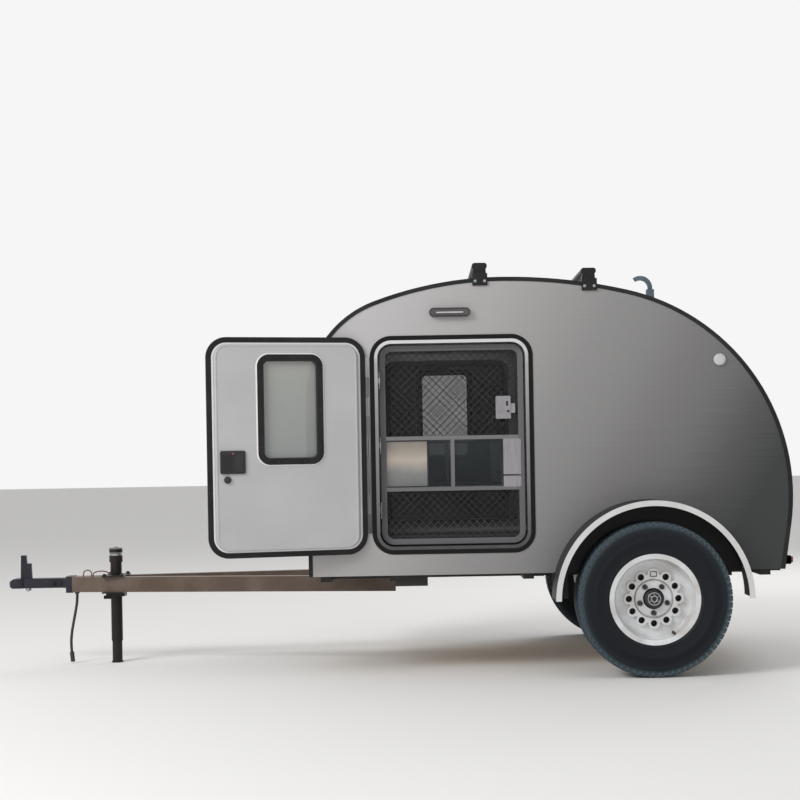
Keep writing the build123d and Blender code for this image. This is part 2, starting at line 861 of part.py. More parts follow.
# Chassis: two long tubes and crossmembers under the floor, with stubs behind the tongue's ends
chassis_front_x = front_x + chassis_front_inset
chassis_rear_x = foot_rear_x - chassis_rear_inset
chassis_half_track = body_half_width - chassis_inset
with BuildPart() as chassis:
    with BuildSketch(Plane.XY.offset(chassis_bottom_z)):
        for side in (-1, 1):
            with Locations((chassis_front_x, side * chassis_half_track)):
                Rectangle(chassis_rear_x - chassis_front_x, chassis_tube, align=(Align.MIN, Align.CENTER))
        for member_x in [chassis_front_x, *crossmembers, chassis_rear_x - chassis_tube]:
            with Locations((member_x, 0)):
                Rectangle(
                    chassis_tube,
                    2 * inner_half_width - 2 * seat_gap,
                    align=(Align.MIN, Align.CENTER),
                )
    extrude(amount=chassis_height)
    with BuildSketch(Plane.XY.offset(chassis_bottom_z - stub_drop)):
        for side in (-1, 1):
            with Locations((tongue_rear_x + 5, side * (inner_half_width - chassis_tube / 2 - 5))):
                Rectangle(stub_length, chassis_tube, align=(Align.MIN, Align.CENTER))
    extrude(amount=chassis_height + stub_drop)
save(chassis.part, "chassis")

# Tongue: two square tubes that meet behind the coupler
tongue_top_z = chassis_bottom_z
tongue_bottom_z = tongue_top_z - tongue_height
tongue_rear_y = body_half_width - tongue_inset
tongue_run = Vector(tongue_rear_x - tongue_front_x, tongue_front_y - tongue_rear_y)
tongue_angle = math.degrees(math.atan2(tongue_run.Y, tongue_run.X))
with BuildPart() as tongue_rail:
    with BuildSketch(Plane.XY.offset(tongue_bottom_z)):
        with Locations(Location((tongue_front_x, -tongue_front_y, 0), (0, 0, tongue_angle))):
            Rectangle(tongue_run.length + tongue_tube, tongue_tube, align=(Align.MIN, Align.CENTER))
        with Locations((tongue_front_x, -seat_gap)):
            Rectangle(
                tongue_rear_x - tongue_front_x,
                2 * tongue_rear_y,
                align=(Align.MIN, Align.MAX),
                mode=Mode.INTERSECT,
            )
    extrude(amount=tongue_height)
save_both_sides(tongue_rail.part, "tongue_rail")

# Coupler: ball housing, neck and collar plate against the tongue's nose
ball_x = coupler_nose_x + ball_radius + ball_wall
coupler_top_z = tongue_top_z - coupler_drop
coupler_bottom_z = coupler_top_z - coupler_height
collar_x = tongue_front_x - collar_thickness
lever_x = ball_x + lever_lead
lever_back_x = lever_x + lever_tip_width + lever_step_width
with BuildPart() as coupler:
    with BuildSketch(Plane.XY.offset(coupler_bottom_z)):
        with Locations((ball_x, 0)):
            Circle(ball_x - coupler_nose_x)
        with Locations((ball_x, 0)):
            Rectangle(coupler_neck_x - ball_x, coupler_width, align=(Align.MIN, Align.CENTER))
        with BuildLine():
            Polyline(
                (coupler_neck_x, -coupler_width / 2),
                (collar_x, -collar_width / 2),
                (collar_x, collar_width / 2),
                (coupler_neck_x, coupler_width / 2),
                close=True,
            )
        make_face()
    extrude(amount=coupler_height)
    with BuildSketch(Plane.YZ.offset(collar_x)):
        with Locations((0, (tongue_top_z + tongue_bottom_z) / 2)):
            Rectangle(collar_width, tongue_height + 2 * collar_rise)
    extrude(amount=collar_thickness)
    with BuildSketch(Plane.XY.offset(coupler_bottom_z)):
        with Locations((ball_x, 0)):
            Circle(ball_radius)
    extrude(amount=socket_depth, mode=Mode.SUBTRACT)
    # nose sloped off above and below
    with BuildSketch(Plane.XZ):
        for edge_z, slope, change in (
            (coupler_top_z, nose_top_slope, -nose_top_drop),
            (coupler_bottom_z, nose_under_slope, nose_under_rise),
        ):
            with BuildLine():
                Polyline(
                    (coupler_nose_x, edge_z + change),
                    (coupler_nose_x + slope, edge_z),
                    (coupler_nose_x - slope, edge_z - change),
                    (coupler_nose_x - slope, edge_z + change),
                    close=True,
                )
            make_face()
    extrude(amount=coupler_width, both=True, mode=Mode.SUBTRACT)
    # latch lever standing behind the ball
    with BuildSketch(Plane.XZ):
        with BuildLine():
            Polyline(
                (lever_x - lever_flare, coupler_top_z),
                (lever_x, coupler_top_z + lever_height),
                (lever_x + lever_tip_width, coupler_top_z + lever_height),
                (lever_x + lever_tip_width + lever_flare, coupler_top_z + lever_step_height),
                (lever_back_x, coupler_top_z + lever_step_height),
                (lever_back_x + lever_flare, coupler_top_z),
                close=True,
            )
        make_face()
    extrude(amount=lever_thickness / 2, both=True)
save(coupler.part, "coupler")

# Jack: flanged tube through the tongue, head and cap
jack_head_z = tongue_top_z + jack_head_rise
jack_bracket_z = tongue_bottom_z - jack_plate_thickness - jack_bracket_height
with BuildPart() as jack_tube:
    with BuildSketch(Plane.XY.offset(jack_tube_bottom_z)):
        with Locations((jack_x, 0)):
            Circle(jack_tube_radius)
    extrude(amount=jack_head_z - jack_tube_bottom_z)
    with BuildSketch(Plane.XY.offset(jack_tube_bottom_z)):
        with Locations((jack_x, 0)):
            Circle(jack_tube_radius - jack_tube_wall)
    extrude(amount=jack_head_z - jack_tube_bottom_z - jack_tube_wall, mode=Mode.SUBTRACT)
    with BuildSketch(Plane.XY.offset(jack_head_z)):
        with Locations((jack_x, 0)):
            Circle(jack_tube_radius + jack_cap_rim)
    extrude(amount=jack_cap_height)
    with BuildSketch(Plane.XY.offset(jack_head_z - jack_collar_drop - jack_collar_height)):
        with Locations((jack_x, 0)):
            Circle(jack_tube_radius + jack_cap_rim)
            Circle(jack_tube_radius - 1, mode=Mode.SUBTRACT)
    extrude(amount=jack_collar_height)
    with BuildSketch(Plane.XY.offset(jack_bracket_z)):
        with Locations((jack_x, 0)):
            Rectangle(jack_bracket_length, jack_bracket_width)
            Circle(jack_tube_radius - 1, mode=Mode.SUBTRACT)
    extrude(amount=jack_bracket_height)
    with BuildSketch(Plane.YZ.offset(jack_x - jack_pin_reach)):
        with Locations((0, jack_bracket_z - jack_pin_radius + jack_pin_sink)):
            Circle(jack_pin_radius)
    extrude(amount=jack_pin_reach - jack_tube_radius + jack_tube_wall - seat_gap)
    for plate_z in (tongue_top_z, tongue_bottom_z - jack_plate_thickness):
        with BuildSketch(Plane.XY.offset(plate_z)):
            with Locations((jack_x, 0)):
                Rectangle(jack_plate_length, jack_plate_width)
                Circle(jack_tube_radius - 1, mode=Mode.SUBTRACT)
        extrude(amount=jack_plate_thickness)
save(jack_tube.part, "jack_tube")

# Drop leg inside the jack tube, down to the ground
jack_leg_top_z = jack_tube_bottom_z + jack_leg_engagement
with BuildPart() as jack_leg:
    with BuildSketch(Plane.XY):
        with Locations((jack_x, 0)):
            Circle(jack_leg_radius)
    extrude(amount=jack_leg_top_z)
    with BuildSketch(Plane.XY):
        with Locations((jack_x, 0)):
            Circle(jack_tube_radius)
    extrude(amount=jack_foot_thickness)
save(jack_leg.part, "jack_leg")

# Wheels: the near one is drawn with its outside towards -Y
wheel_out = body_half_width + wheel_offset
bead_radius = rim_radius - flange_height
wheel_plane = Plane(origin=(axle_x, -wheel_out, tyre_radius), x_dir=(1, 0, 0), z_dir=(0, 0, 1))
wheel_axis = Axis((axle_x, -wheel_out, tyre_radius), (0, 1, 0))
with BuildPart() as tyre:
    with BuildSketch(wheel_plane):
        with BuildLine():
            half = tyre_width / 2
            Polyline(
                (rim_radius + 2, 0.5 - rim_half_width),
                (bead_radius + seat_gap, 0.5 - rim_half_width),
                (bead_radius + seat_gap, rim_half_width - 0.5),
                (rim_radius + 2, rim_half_width - 0.5),
            )
            ThreePointArc(
                (rim_radius + 2, rim_half_width - 0.5),
                ((bead_radius + tyre_radius) / 2 + 4, half),
                (tyre_radius - 12, half - 16),
            )
            ThreePointArc(
                (tyre_radius - 12, half - 16),
                (tyre_radius - 3.5, half - 24),
                (tyre_radius - 2, half - 34),
            )
            ThreePointArc(
                (tyre_radius - 2, half - 34),
                (tyre_radius, 0),
                (tyre_radius - 2, 34 - half),
            )
            ThreePointArc(
                (tyre_radius - 2, 34 - half),
                (tyre_radius - 3.5, 24 - half),
                (tyre_radius - 12, 16 - half),
            )
            ThreePointArc(
                (tyre_radius - 12, 16 - half),
                ((bead_radius + tyre_radius) / 2 + 4, -half),
                (rim_radius + 2, 0.5 - rim_half_width),
            )
        make_face()
    revolve(axis=wheel_axis)
save_both_sides(tyre.part, "tyre")

hand_hole_pitch = 360 / hand_hole_places
with BuildPart() as rim:
    with BuildSketch(wheel_plane):
        with BuildLine():
            barrel_inner = bead_radius - barrel_thickness
            Polyline(
                (bead_radius, -rim_half_width),
                (bead_radius, rim_half_width),
                (rim_radius, rim_half_width + 2),
                (rim_radius, rim_half_width + 8),
                (barrel_inner, rim_half_width + 4),
                (barrel_inner, -rim_half_width - 4),
                (rim_radius, -rim_half_width - 8),
                (rim_radius, -rim_half_width - 2),
                close=True,
            )
        make_face()
        with BuildLine():
            Polyline(
                (rim_bore_radius, 0),
                (centre_pad_radius, 0),
                (spider_inner_radius, disc_thickness - dish_proud),
                (dish_radius, disc_thickness - dish_proud),
                (barrel_inner + 1, 1.2 * disc_thickness - dish_wall_proud),
                (barrel_inner + 1, -dish_wall_proud),
                (dish_radius, -dish_proud),
                (spider_inner_radius, -dish_proud),
                (centre_pad_radius, -centre_pad_proud),
                (rim_bore_radius, -centre_pad_proud),
                close=True,
            )
        make_face()
    revolve(axis=wheel_axis)
    # raised spider with scalloped edge, then the hand holes and lug pockets through it
    with BuildSketch(side_plane(wheel_out + dish_proud - 1)):
        with Locations((axle_x, tyre_radius)):
            Circle(hand_hole_circle)
            with PolarLocations(hand_hole_circle, hand_hole_places, start_angle=90):
                Circle(scallop_radius)
            Circle(spider_inner_radius, mode=Mode.SUBTRACT)
    extrude(amount=spider_proud - dish_proud + 1)
    with BuildSketch(side_plane(wheel_out)):
        with Locations((axle_x, tyre_radius)):
            with PolarLocations(
                hand_hole_circle,
                hand_hole_places - 1,
                start_angle=90 + hand_hole_pitch,
                angular_range=360 - hand_hole_pitch,
            ):
                Circle(hand_hole_radius)
    extrude(amount=2 * spider_proud, mode=Mode.SUBTRACT)
    with BuildSketch(side_plane(wheel_out + centre_pad_proud - lug_pocket_depth)):
        with Locations((axle_x, tyre_radius)):
            with PolarLocations(lug_circle, lug_count, start_angle=-90):
                Circle(lug_pocket_radius)
    extrude(amount=2 * lug_pocket_depth, mode=Mode.SUBTRACT)
save_both_sides(rim.part, "rim")

with BuildPart() as hub:
    with BuildSketch(wheel_plane):
        with BuildLine():
            Polyline(
                (0, -cap_proud),
                (cap_radius - cap_round, -cap_proud),
                (cap_radius, cap_round - cap_proud),
                (cap_radius, 0),
                (hub_flange_radius, 0),
                (hub_flange_radius, hub_flange_thickness),
                (drum_radius, hub_flange_thickness),
                (drum_radius, hub_flange_thickness + drum_depth),
                (drum_radius - drum_wall, hub_flange_thickness + drum_depth),
                (drum_radius - drum_wall, hub_flange_thickness + drum_wall),
                (hub_barrel_radius, hub_flange_thickness + drum_wall),
                (hub_barrel_radius, hub_barrel_length),
                (spindle_radius + spindle_play, hub_barrel_length),
                (spindle_radius + spindle_play, -10),
                (0, -10),
                close=True,
            )
        make_face()
    revolve(axis=wheel_axis)
    with BuildSketch(side_plane(wheel_out + centre_pad_proud - lug_pocket_depth)):
        with Locations((axle_x, tyre_radius)):
            with PolarLocations(lug_circle, lug_count, start_angle=-90):
                Circle(lug_radius)
    extrude(amount=lug_height)
save_both_sides(hub.part, "hub")

# Axle: torsion beam under the chassis with trailing arms and spindles
arm_inner_out = body_half_width - arm_inset
beam_x = axle_x - beam_lead
beam_z = chassis_bottom_z - beam_size / 2
with BuildPart() as axle:
    with BuildSketch(Plane.XZ):
        with Locations((beam_x, beam_z)):
            Rectangle(beam_size, beam_size)
    extrude(amount=arm_inner_out, both=True)
    for out in (arm_inner_out, -arm_inner_out - arm_thickness):
        with BuildSketch(side_plane(out)):
            with Locations((beam_x, beam_z)):
                Circle(beam_size / 2)
            with Locations((axle_x, tyre_radius)):
                Circle(spindle_radius * 2)
            make_hull()
        extrude(amount=arm_thickness)
    with BuildSketch(Plane.XZ):
        with Locations((axle_x, tyre_radius)):
            Circle(spindle_radius)
    extrude(amount=wheel_out + 8, both=True)
    with BuildSketch(Plane.XZ):
        with Locations((axle_x, tyre_radius)):
            Circle(spindle_radius + 1)
    extrude(amount=arm_inner_out, both=True, mode=Mode.SUBTRACT)
save(axle.part, "axle")

# Fenders: black half-round sheet with a back plate on the wall
arch_radius = tyre_radius + arch_gap
arch_out = body_half_width + arch_overhang
with BuildPart() as fender:
    with BuildSketch(side_plane(body_half_width)):
        with Locations((axle_x, tyre_radius)):
            Circle(arch_radius)
        with Locations((axle_x, tyre_radius)):
            Circle(arch_radius - arch_sheet, mode=Mode.SUBTRACT)
            Rectangle(
                3 * arch_radius,
                2 * arch_radius,
                align=(Align.CENTER, Align.MAX),
                mode=Mode.SUBTRACT,
            )
    extrude(amount=arch_out - body_half_width)
    with BuildSketch(side_plane(body_half_width)):
        with Locations((axle_x, tyre_radius)):
            Circle(arch_radius - 1)
        with Locations((axle_x - arch_radius, arch_skirt_z)):
            Rectangle(
                2 * arch_radius,
                wall_foot_z - arch_skirt_z,
                align=(Align.MIN, Align.MIN),
                mode=Mode.SUBTRACT,
            )
            Rectangle(
                3 * arch_radius,
                2 * arch_radius,
                align=(Align.MIN, Align.MAX),
                mode=Mode.SUBTRACT,
            )
        with Locations((axle_x - arch_radius + 1, arch_skirt_z)):
            Rectangle(arch_skirt_width, wall_foot_z - arch_skirt_z + 1, align=(Align.MIN, Align.MIN))
    extrude(amount=arch_sheet)
fenders = Compound([fender.part, mirror(fender.part, about=Plane.XZ)])
save(fenders, "fenders")

with BuildPart() as fender_lip:
    with BuildSketch(side_plane(arch_out)):
        with Locations((axle_x, tyre_radius)):
            Circle(arch_radius)
            Circle(arch_radius - arch_lip_face, mode=Mode.SUBTRACT)
            Rectangle(
                3 * arch_radius,
                2 * arch_radius,
                align=(Align.CENTER, Align.MAX),
                mode=Mode.SUBTRACT,
            )
    extrude(amount=arch_lip_thickness)
fender_lips = Compound([fender_lip.part, mirror(fender_lip.part, about=Plane.XZ)])
save(fender_lips, "fender_lips")

# Roof rack: two bars on feet that stand on the edge rails
rack_half_span = body_half_width - rack_inset
clamp_out = body_half_width + rail_lip_thickness + seat_gap
rack_solids = []
for bar_x in rack_bars:
    rack_top_z = roof_z(bar_x) + rack_height
    with BuildPart() as rack_bar:
        with BuildSketch(Plane.XZ):
            with Locations((bar_x, rack_top_z - rack_bar_height / 2)):
                RectangleRounded(rack_bar_depth, rack_bar_height, rack_bar_height / 2 - 1)
        extrude(amount=rack_half_span, both=True)
        for side in (-1, 1):
            foot_out = side * (rack_half_span - rack_foot_width / 2)
            with BuildSketch(Plane.XZ.offset(foot_out)):
                with BuildLine():
                    Polyline(
                        (bar_x - rack_bar_depth / 2 + rack_end_inset, rack_top_z - rack_bar_height / 2),
                        (bar_x + rack_bar_depth / 2 - rack_end_inset, rack_top_z - rack_bar_height / 2),
                        (bar_x + rack_foot_length / 2, rack_top_z - rack_height - rack_foot_drop),
                        (bar_x - rack_foot_length / 2, rack_top_z - rack_height - rack_foot_drop),
                        close=True,
                    )
                make_face()
                body_outline(rail_height + seat_gap, mode=Mode.SUBTRACT)
            extrude(amount=rack_foot_width / 2, both=True)
        for bridge_out, clamp_plate_out in (
            (rack_half_span - 1, clamp_out),
            (-clamp_out - 1, -clamp_out - clamp_thickness),
        ):
            with BuildSketch(Plane.XZ.offset(bridge_out)):
                with Locations((bar_x, roof_z(bar_x) + clamp_head)):
                    Rectangle(clamp_length, clamp_head, align=(Align.CENTER, Align.MAX))
                body_outline(rail_height + seat_gap, mode=Mode.SUBTRACT)
            extrude(amount=clamp_out - rack_half_span + 2)
            with BuildSketch(Plane.XZ.offset(clamp_plate_out)):
                with Locations((bar_x, roof_z(bar_x) + clamp_head)):
                    Rectangle(clamp_length, clamp_head + clamp_drop, align=(Align.CENTER, Align.MAX))
            extrude(amount=clamp_thickness)
    rack_solids.append(rack_bar.part)
save(Compound(rack_solids), "roof_rack")

# Curved arm on the near edge rail, just ahead of the hatch
arm_out = body_half_width - arm_inset_y
arm_foot_z = roof_z(arm_x) + rail_height
with BuildPart() as roof_arm:
    with BuildSketch(side_plane(arm_out - arm_base / 2)):
        with Locations((arm_x, arm_foot_z)):
            Rectangle(arm_base, 2 * arm_base)
        body_outline(rail_height + seat_gap, mode=Mode.SUBTRACT)
    extrude(amount=arm_base)
    with BuildSketch(side_plane(arm_out)):
        with Locations((arm_x - arm_arc_radius, arm_foot_z + arm_rise)):
            Circle(arm_arc_radius + arm_tube_radius)
            Circle(arm_arc_radius - arm_tube_radius, mode=Mode.SUBTRACT)
            Rectangle(
                3 * arm_arc_radius,
                3 * arm_arc_radius,
                align=(Align.CENTER, Align.MAX),
                mode=Mode.SUBTRACT,
            )
            Rectangle(
                3 * arm_arc_radius,
                3 * arm_arc_radius,
                rotation=arm_arc_turn,
                align=(Align.MIN, Align.MIN),
                mode=Mode.SUBTRACT,
            )
        with Locations((arm_x, arm_foot_z)):
            Rectangle(2 * arm_tube_radius, arm_rise, align=(Align.CENTER, Align.MIN))
        body_outline(rail_height + seat_gap, mode=Mode.SUBTRACT)
    extrude(amount=arm_tube_radius, both=True)
save(roof_arm.part, "roof_arm")

# Porch lamps over both doors
porch_lamp_x = doorway_x + porch_lamp_shift
porch_lamp_z = doorway_z + ring_height / 2 + porch_lamp_rise
with BuildPart() as porch_lamp:
    with BuildSketch(side_plane(body_half_width)):
        with Locations((porch_lamp_x, porch_lamp_z)):
            RectangleRounded(porch_lamp_length, porch_lamp_height, porch_lamp_height / 2 - 1)
    extrude(amount=porch_lamp_depth)
    fillet(porch_lamp.edges().group_by(Axis.Y)[0], 8)
save(Compound([porch_lamp.part, mirror(porch_lamp.part, about=Plane.XZ)]), "porch_lamps")

# Round inlet cap high on the near wall
with BuildPart() as inlet_cap:
    with BuildSketch(side_plane(body_half_width)):
        with Locations((cap_x, cap_z)):
            Circle(inlet_radius)
    extrude(amount=inlet_depth)
    fillet(inlet_cap.edges().group_by(Axis.Y)[0], inlet_round)
save(inlet_cap.part, "inlet_cap")

# Rear bumper: tube on two brackets from the chassis
bumper_bottom_z = wall_foot_z + bumper_rise
bumper_front_x = rear_x(bumper_bottom_z + bumper_height) + bumper_gap
bumper_rear_x = bumper_front_x + bumper_depth
bumper_half_width = body_half_width - bumper_inset
with BuildPart() as bumper:
    with BuildSketch(Plane.XZ):
        with Locations((bumper_rear_x - bumper_depth / 2, bumper_bottom_z + bumper_height / 2)):
            RectangleRounded(bumper_depth, bumper_height, bumper_corner)
            RectangleRounded(
                bumper_depth - 2 * bumper_wall,
                bumper_height - 2 * bumper_wall,
                bumper_corner - bumper_wall,
                mode=Mode.SUBTRACT,
            )
    extrude(amount=bumper_half_width, both=True)
    for side in (-1, 1):
        with BuildSketch(Plane.XZ.offset(side * chassis_half_track)):
            with BuildLine():
                Polyline(
                    (chassis_rear_x, chassis_bottom_z + bumper_bracket_lift),
                    (bumper_rear_x - bumper_bracket_inset, chassis_bottom_z + bumper_bracket_lift),
                    (bumper_rear_x - bumper_bracket_inset, bumper_bottom_z + bumper_wall),
                    (bumper_rear_x - bumper_depth + bumper_bracket_inset, bumper_bottom_z + bumper_wall),
                    (bumper_rear_x - bumper_depth + bumper_bracket_inset, wall_foot_z - bumper_bracket_seat),
                    (chassis_rear_x, wall_foot_z - bumper_bracket_seat),
                    close=True,
                )
            make_face()
        extrude(amount=chassis_tube / 2, both=True)
save(bumper.part, "bumper")

# Tail lamps on the bumper
tail_lamp_y = body_half_width - tail_lamp_inset
with BuildPart() as tail_lamp:
    with BuildSketch(Plane.YZ.offset(bumper_rear_x)):
        with Locations((-tail_lamp_y, bumper_bottom_z + bumper_height / 2)):
            RectangleRounded(tail_lamp_width, tail_lamp_height, tail_lamp_corner)
    extrude(amount=tail_lamp_depth)
save(Compound([tail_lamp.part, mirror(tail_lamp.part, about=Plane.XZ)]), "tail_lamps")

# Grommet under the tongue's nose, the harness that hangs from it and its plug
harness_points = [Vector(*point) for point in harness_route]
harness_radii = []
for before, corner, after in zip(harness_points, harness_points[1:], harness_points[2:]):
    turn = (corner - before).get_angle(after - corner)
    shorter = min((corner - before).length, (after - corner).length)
    harness_radii.append(0.45 * shorter / math.tan(math.radians(turn / 2)))
print("harness radii", [round(radius) for radius in harness_radii])
with BuildPart() as harness:
    with BuildLine() as harness_path:
        FilletPolyline(*harness_points, radius=harness_radii)
    start = harness_path.wires()[0]
    with BuildSketch(Plane(origin=start @ 0, z_dir=start % 0)):
        Circle(harness_diameter / 2)
    sweep()
print("harness length", round(start.length), "volume ratio",
      round(harness.part.volume / (math.pi * harness_diameter ** 2 / 4 * start.length), 4))
save(harness.part, "harness")

plug_plane = Plane(origin=start @ 1, z_dir=start % 1)
with BuildPart() as harness_plug:
    with BuildSketch(plug_plane):
        Circle(harness_plug_radius)
    extrude(amount=harness_plug_length)
    fillet(harness_plug.edges().filter_by(GeomType.CIRCLE), harness_plug_round)
save(harness_plug.part, "harness_plug")

# Grommet that the harness leaves through
with BuildPart() as grommet:
    with BuildSketch(Plane.XY.offset(harness_points[0].Z)):
        with Locations((harness_points[0].X, harness_points[0].Y)):
            Circle(grommet_radius)
    extrude(amount=tongue_bottom_z - harness_points[0].Z)
save(grommet.part, "harness_grommet")
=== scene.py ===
import bpy
import bmesh
import json
import math
from mathutils import Matrix, Vector
from mathutils.kdtree import KDTree


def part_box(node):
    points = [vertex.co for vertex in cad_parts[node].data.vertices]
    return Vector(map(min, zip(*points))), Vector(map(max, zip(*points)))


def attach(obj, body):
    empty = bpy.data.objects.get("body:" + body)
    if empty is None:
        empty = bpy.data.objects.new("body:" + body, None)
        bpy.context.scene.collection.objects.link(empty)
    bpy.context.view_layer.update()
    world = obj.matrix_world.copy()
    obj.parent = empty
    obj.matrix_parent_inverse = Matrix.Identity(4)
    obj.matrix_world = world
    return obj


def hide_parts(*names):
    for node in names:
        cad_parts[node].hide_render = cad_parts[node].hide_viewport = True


# A small teardrop camping trailer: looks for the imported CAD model.
# Lengths are metres, X from hitch to tail, Y from the near side to the far side, Z up.
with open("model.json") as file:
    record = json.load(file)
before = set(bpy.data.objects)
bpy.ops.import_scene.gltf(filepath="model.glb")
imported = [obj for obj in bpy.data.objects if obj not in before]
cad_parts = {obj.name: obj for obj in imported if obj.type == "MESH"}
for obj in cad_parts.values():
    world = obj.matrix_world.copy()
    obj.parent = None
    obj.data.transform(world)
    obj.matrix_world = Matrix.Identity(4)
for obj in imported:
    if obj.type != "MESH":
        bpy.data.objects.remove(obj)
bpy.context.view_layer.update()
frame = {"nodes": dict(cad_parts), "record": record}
nodes = frame["nodes"]
mm = 0.001
print("frame loaded:", len(nodes), "nodes")

# Places that the pieces below share with the CAD model
body = {
    "halfWidth": 0.76,
    "innerHalfWidth": 0.722,
    "cabinMiddle": (0.6, 0, 0.95),
    "outline": [  # arcs of the side outline: centre X and Z, radius, start and end angle
        ((0.1299, 1.28), 0.47, 178, 114),
        ((0.555, 0.112), 1.713, 108, 92),
        ((0.555, -0.669), 2.494, 89, 77.5),
        ((0.9115, 0.8158), 0.967, 74, -6),
    ],
    "railHeight": 0.014,
    "paintedShadeStart": -0.62,  # nose end of the painted shade and reflection, pale at the nose and dark at the tail, along 0.6 X - 0.35 Z
    "paintedShadeEnd": 0.83,
}
doorway = {
    "centre": (0.3215, 1.068),
    "ring": (0.755, 1.012, 0.1),  # width, height, corner radius
    "ringFace": 0.018,
    "paintedShadeFoot": 0.55,  # painted shade at the foot gives way to a painted highlight at the head between these heights
    "paintedHighlightHead": 1.58,
}
door = {
    "hinge": (-0.064, -0.768, 0),
    "openAngle": 163,
    "leaf": (0.743, 1.000, 0.094),
    "blackBand": 0.025,
    "plugCentreX": 0.3285,
    "plug": (0.657, 0.928, 0.058),
    "plugInner": 0.7343,
    "plugOuter": 0.7643,
    "skinInner": 0.766,
    "windowCentre": (0.3135, 1.238),
    "window": (0.305, 0.5, 0.055),
    "latchCentre": (0.583, 1.002),
    "latchPlate": (0.115, 0.104),
    "latchFace": 0.7273,
    "lockCentre": (0.608, 0.923),
}
screen = {
    "left": -0.012,
    "right": 0.655,
    "height": 0.924,
    "radius": 0.056,
    "stile": 0.026,
    "inner": 0.7083,
    "outer": 0.7203,
    "bandTop": 1.099,
    "bandBottom": 0.862,
    "bar": 0.018,
}
wheel = {"centre": (1.216, 0.352), "out": 0.892, "radius": 0.352}


# Colours and nodes
def linear(code):
    parts = [int(code[i:i + 2], 16) / 255 for i in (1, 3, 5)]
    return tuple(c / 12.92 if c <= 0.04045 else ((c + 0.055) / 1.055) ** 2.4 for c in parts) + (1.0,)


def addNode(tree, kind, inputs=None, stops=(), **settings):
    # An input is a value, a hex colour, an output socket, or a node for its first live output
    node = tree.nodes.new("ShaderNode" + kind)
    for name, value in settings.items():
        setattr(node, name, value)
    for name, value in (inputs or {}).items():
        if isinstance(value, bpy.types.Node):
            value = next(output for output in value.outputs if output.enabled)
        if isinstance(value, bpy.types.NodeSocket):
            tree.links.new(value, node.inputs[name])
        else:
            node.inputs[name].default_value = linear(value) if isinstance(value, str) else value
    for i, (position, code) in enumerate(stops):
        mark = node.color_ramp.elements[i] if i < 2 else node.color_ramp.elements.new(position)
        mark.position, mark.color = position, linear(code)
    return node


def newMaterial(name):
    material = bpy.data.materials.new(name)
    material.use_nodes = True
    tree = material.node_tree
    tree.nodes.clear()
    return material, tree, addNode(tree, "TexCoord").outputs["Object"]


def closeMaterial(material, inputs, shine=None, bump=None):
    # shine is the least and most roughness and what drives it; bump is its strength, depth in mm and height
    tree = material.node_tree
    if shine:
        least, most, source = shine
        inputs["Roughness"] = addNode(tree, "MapRange", {"To Min": least, "To Max": most, "Value": source})
    if bump:
        strength, depth, source = bump
        inputs["Normal"] = addNode(tree, "Bump", {"Strength": strength, "Distance": depth * mm, "Height": source})
    addNode(tree, "OutputMaterial", {"Surface": addNode(tree, "BsdfPrincipled", inputs)})
    return material


def insetFromEdge(tree, place, centre, size):
    # How far in from the edge of a rounded rectangle in the X-Z plane, up to its corner radius
    width, height, radius = size
    for operation, value in (
        ("SUBTRACT", (centre[0], 0, centre[1])), ("MULTIPLY", (1, 0, 1)), ("ABSOLUTE", (0, 0, 0)),
        ("SUBTRACT", (width / 2 - radius, 0, height / 2 - radius)), ("MAXIMUM", (0, 0, 0)), ("LENGTH", (0, 0, 0)),
    ):
        place = addNode(tree, "VectorMath", {0: place, 1: value}, operation=operation)
    return addNode(tree, "Math", {0: radius, 1: place}, operation="SUBTRACT")


def fartherOut(tree, place, distance):
    # 1 where a point lies farther from the trailer's middle plane than the distance, else 0
    parts = addNode(tree, "SeparateXYZ", {0: place})
    out = addNode(tree, "Math", {0: parts.outputs["Y"]}, operation="ABSOLUTE")
    return addNode(tree, "Math", {0: out, 1: distance}, operation="GREATER_THAN")


def shutPlace(tree, place, standsOpen):
    # The near door stands open at rest, so its points are swung back to where they are when it is shut
    if not standsOpen:
        return place
    turn = {"Vector": place, "Center": door["hinge"], "Angle": math.radians(door["openAngle"])}
    return addNode(tree, "VectorRotate", turn, rotation_type="Z_AXIS")


def driftingTint(tree, source, low, high, cloud, share, tints, top=1.0):
    # Colours that change as the source runs from low to high, broken up by a share of a cloud
    spread = addNode(tree, "MapRange", {"From Min": low, "From Max": high, "To Max": top, "Value": source})
    broken = addNode(tree, "Math", {0: cloud, 1: share, 2: spread}, operation="MULTIPLY_ADD")
    return addNode(tree, "ValToRGB", {"Fac": broken}, tints)


def filmWithPaintedShade(tree, place):
    # Grey of the body film with painted shade and painted reflection running from the pale nose to the dark tail, and
    # the long faint brush lines in it
    brush = addNode(tree, "Mapping", {"Scale": (1.2, 1.2, 130.0), "Vector": place})
    lines = addNode(tree, "TexNoise", {"Scale": 3.0, "Detail": 4.0, "Vector": brush})
    along = addNode(tree, "VectorMath", {0: place, 1: (0.6, 0, -0.35)}, operation="DOT_PRODUCT")
    return lines, driftingTint(tree, along, body["paintedShadeStart"], body["paintedShadeEnd"], lines, 0.1, [
        (0.05, "#bbb9ba"), (0.27, "#adabaa"), (0.5, "#939292"), (0.61, "#8b8a8a"),
        (0.7, "#7f7d7e"), (0.8, "#747374"), (0.9, "#585858"), (1.0, "#3c3e3f"),
    ])


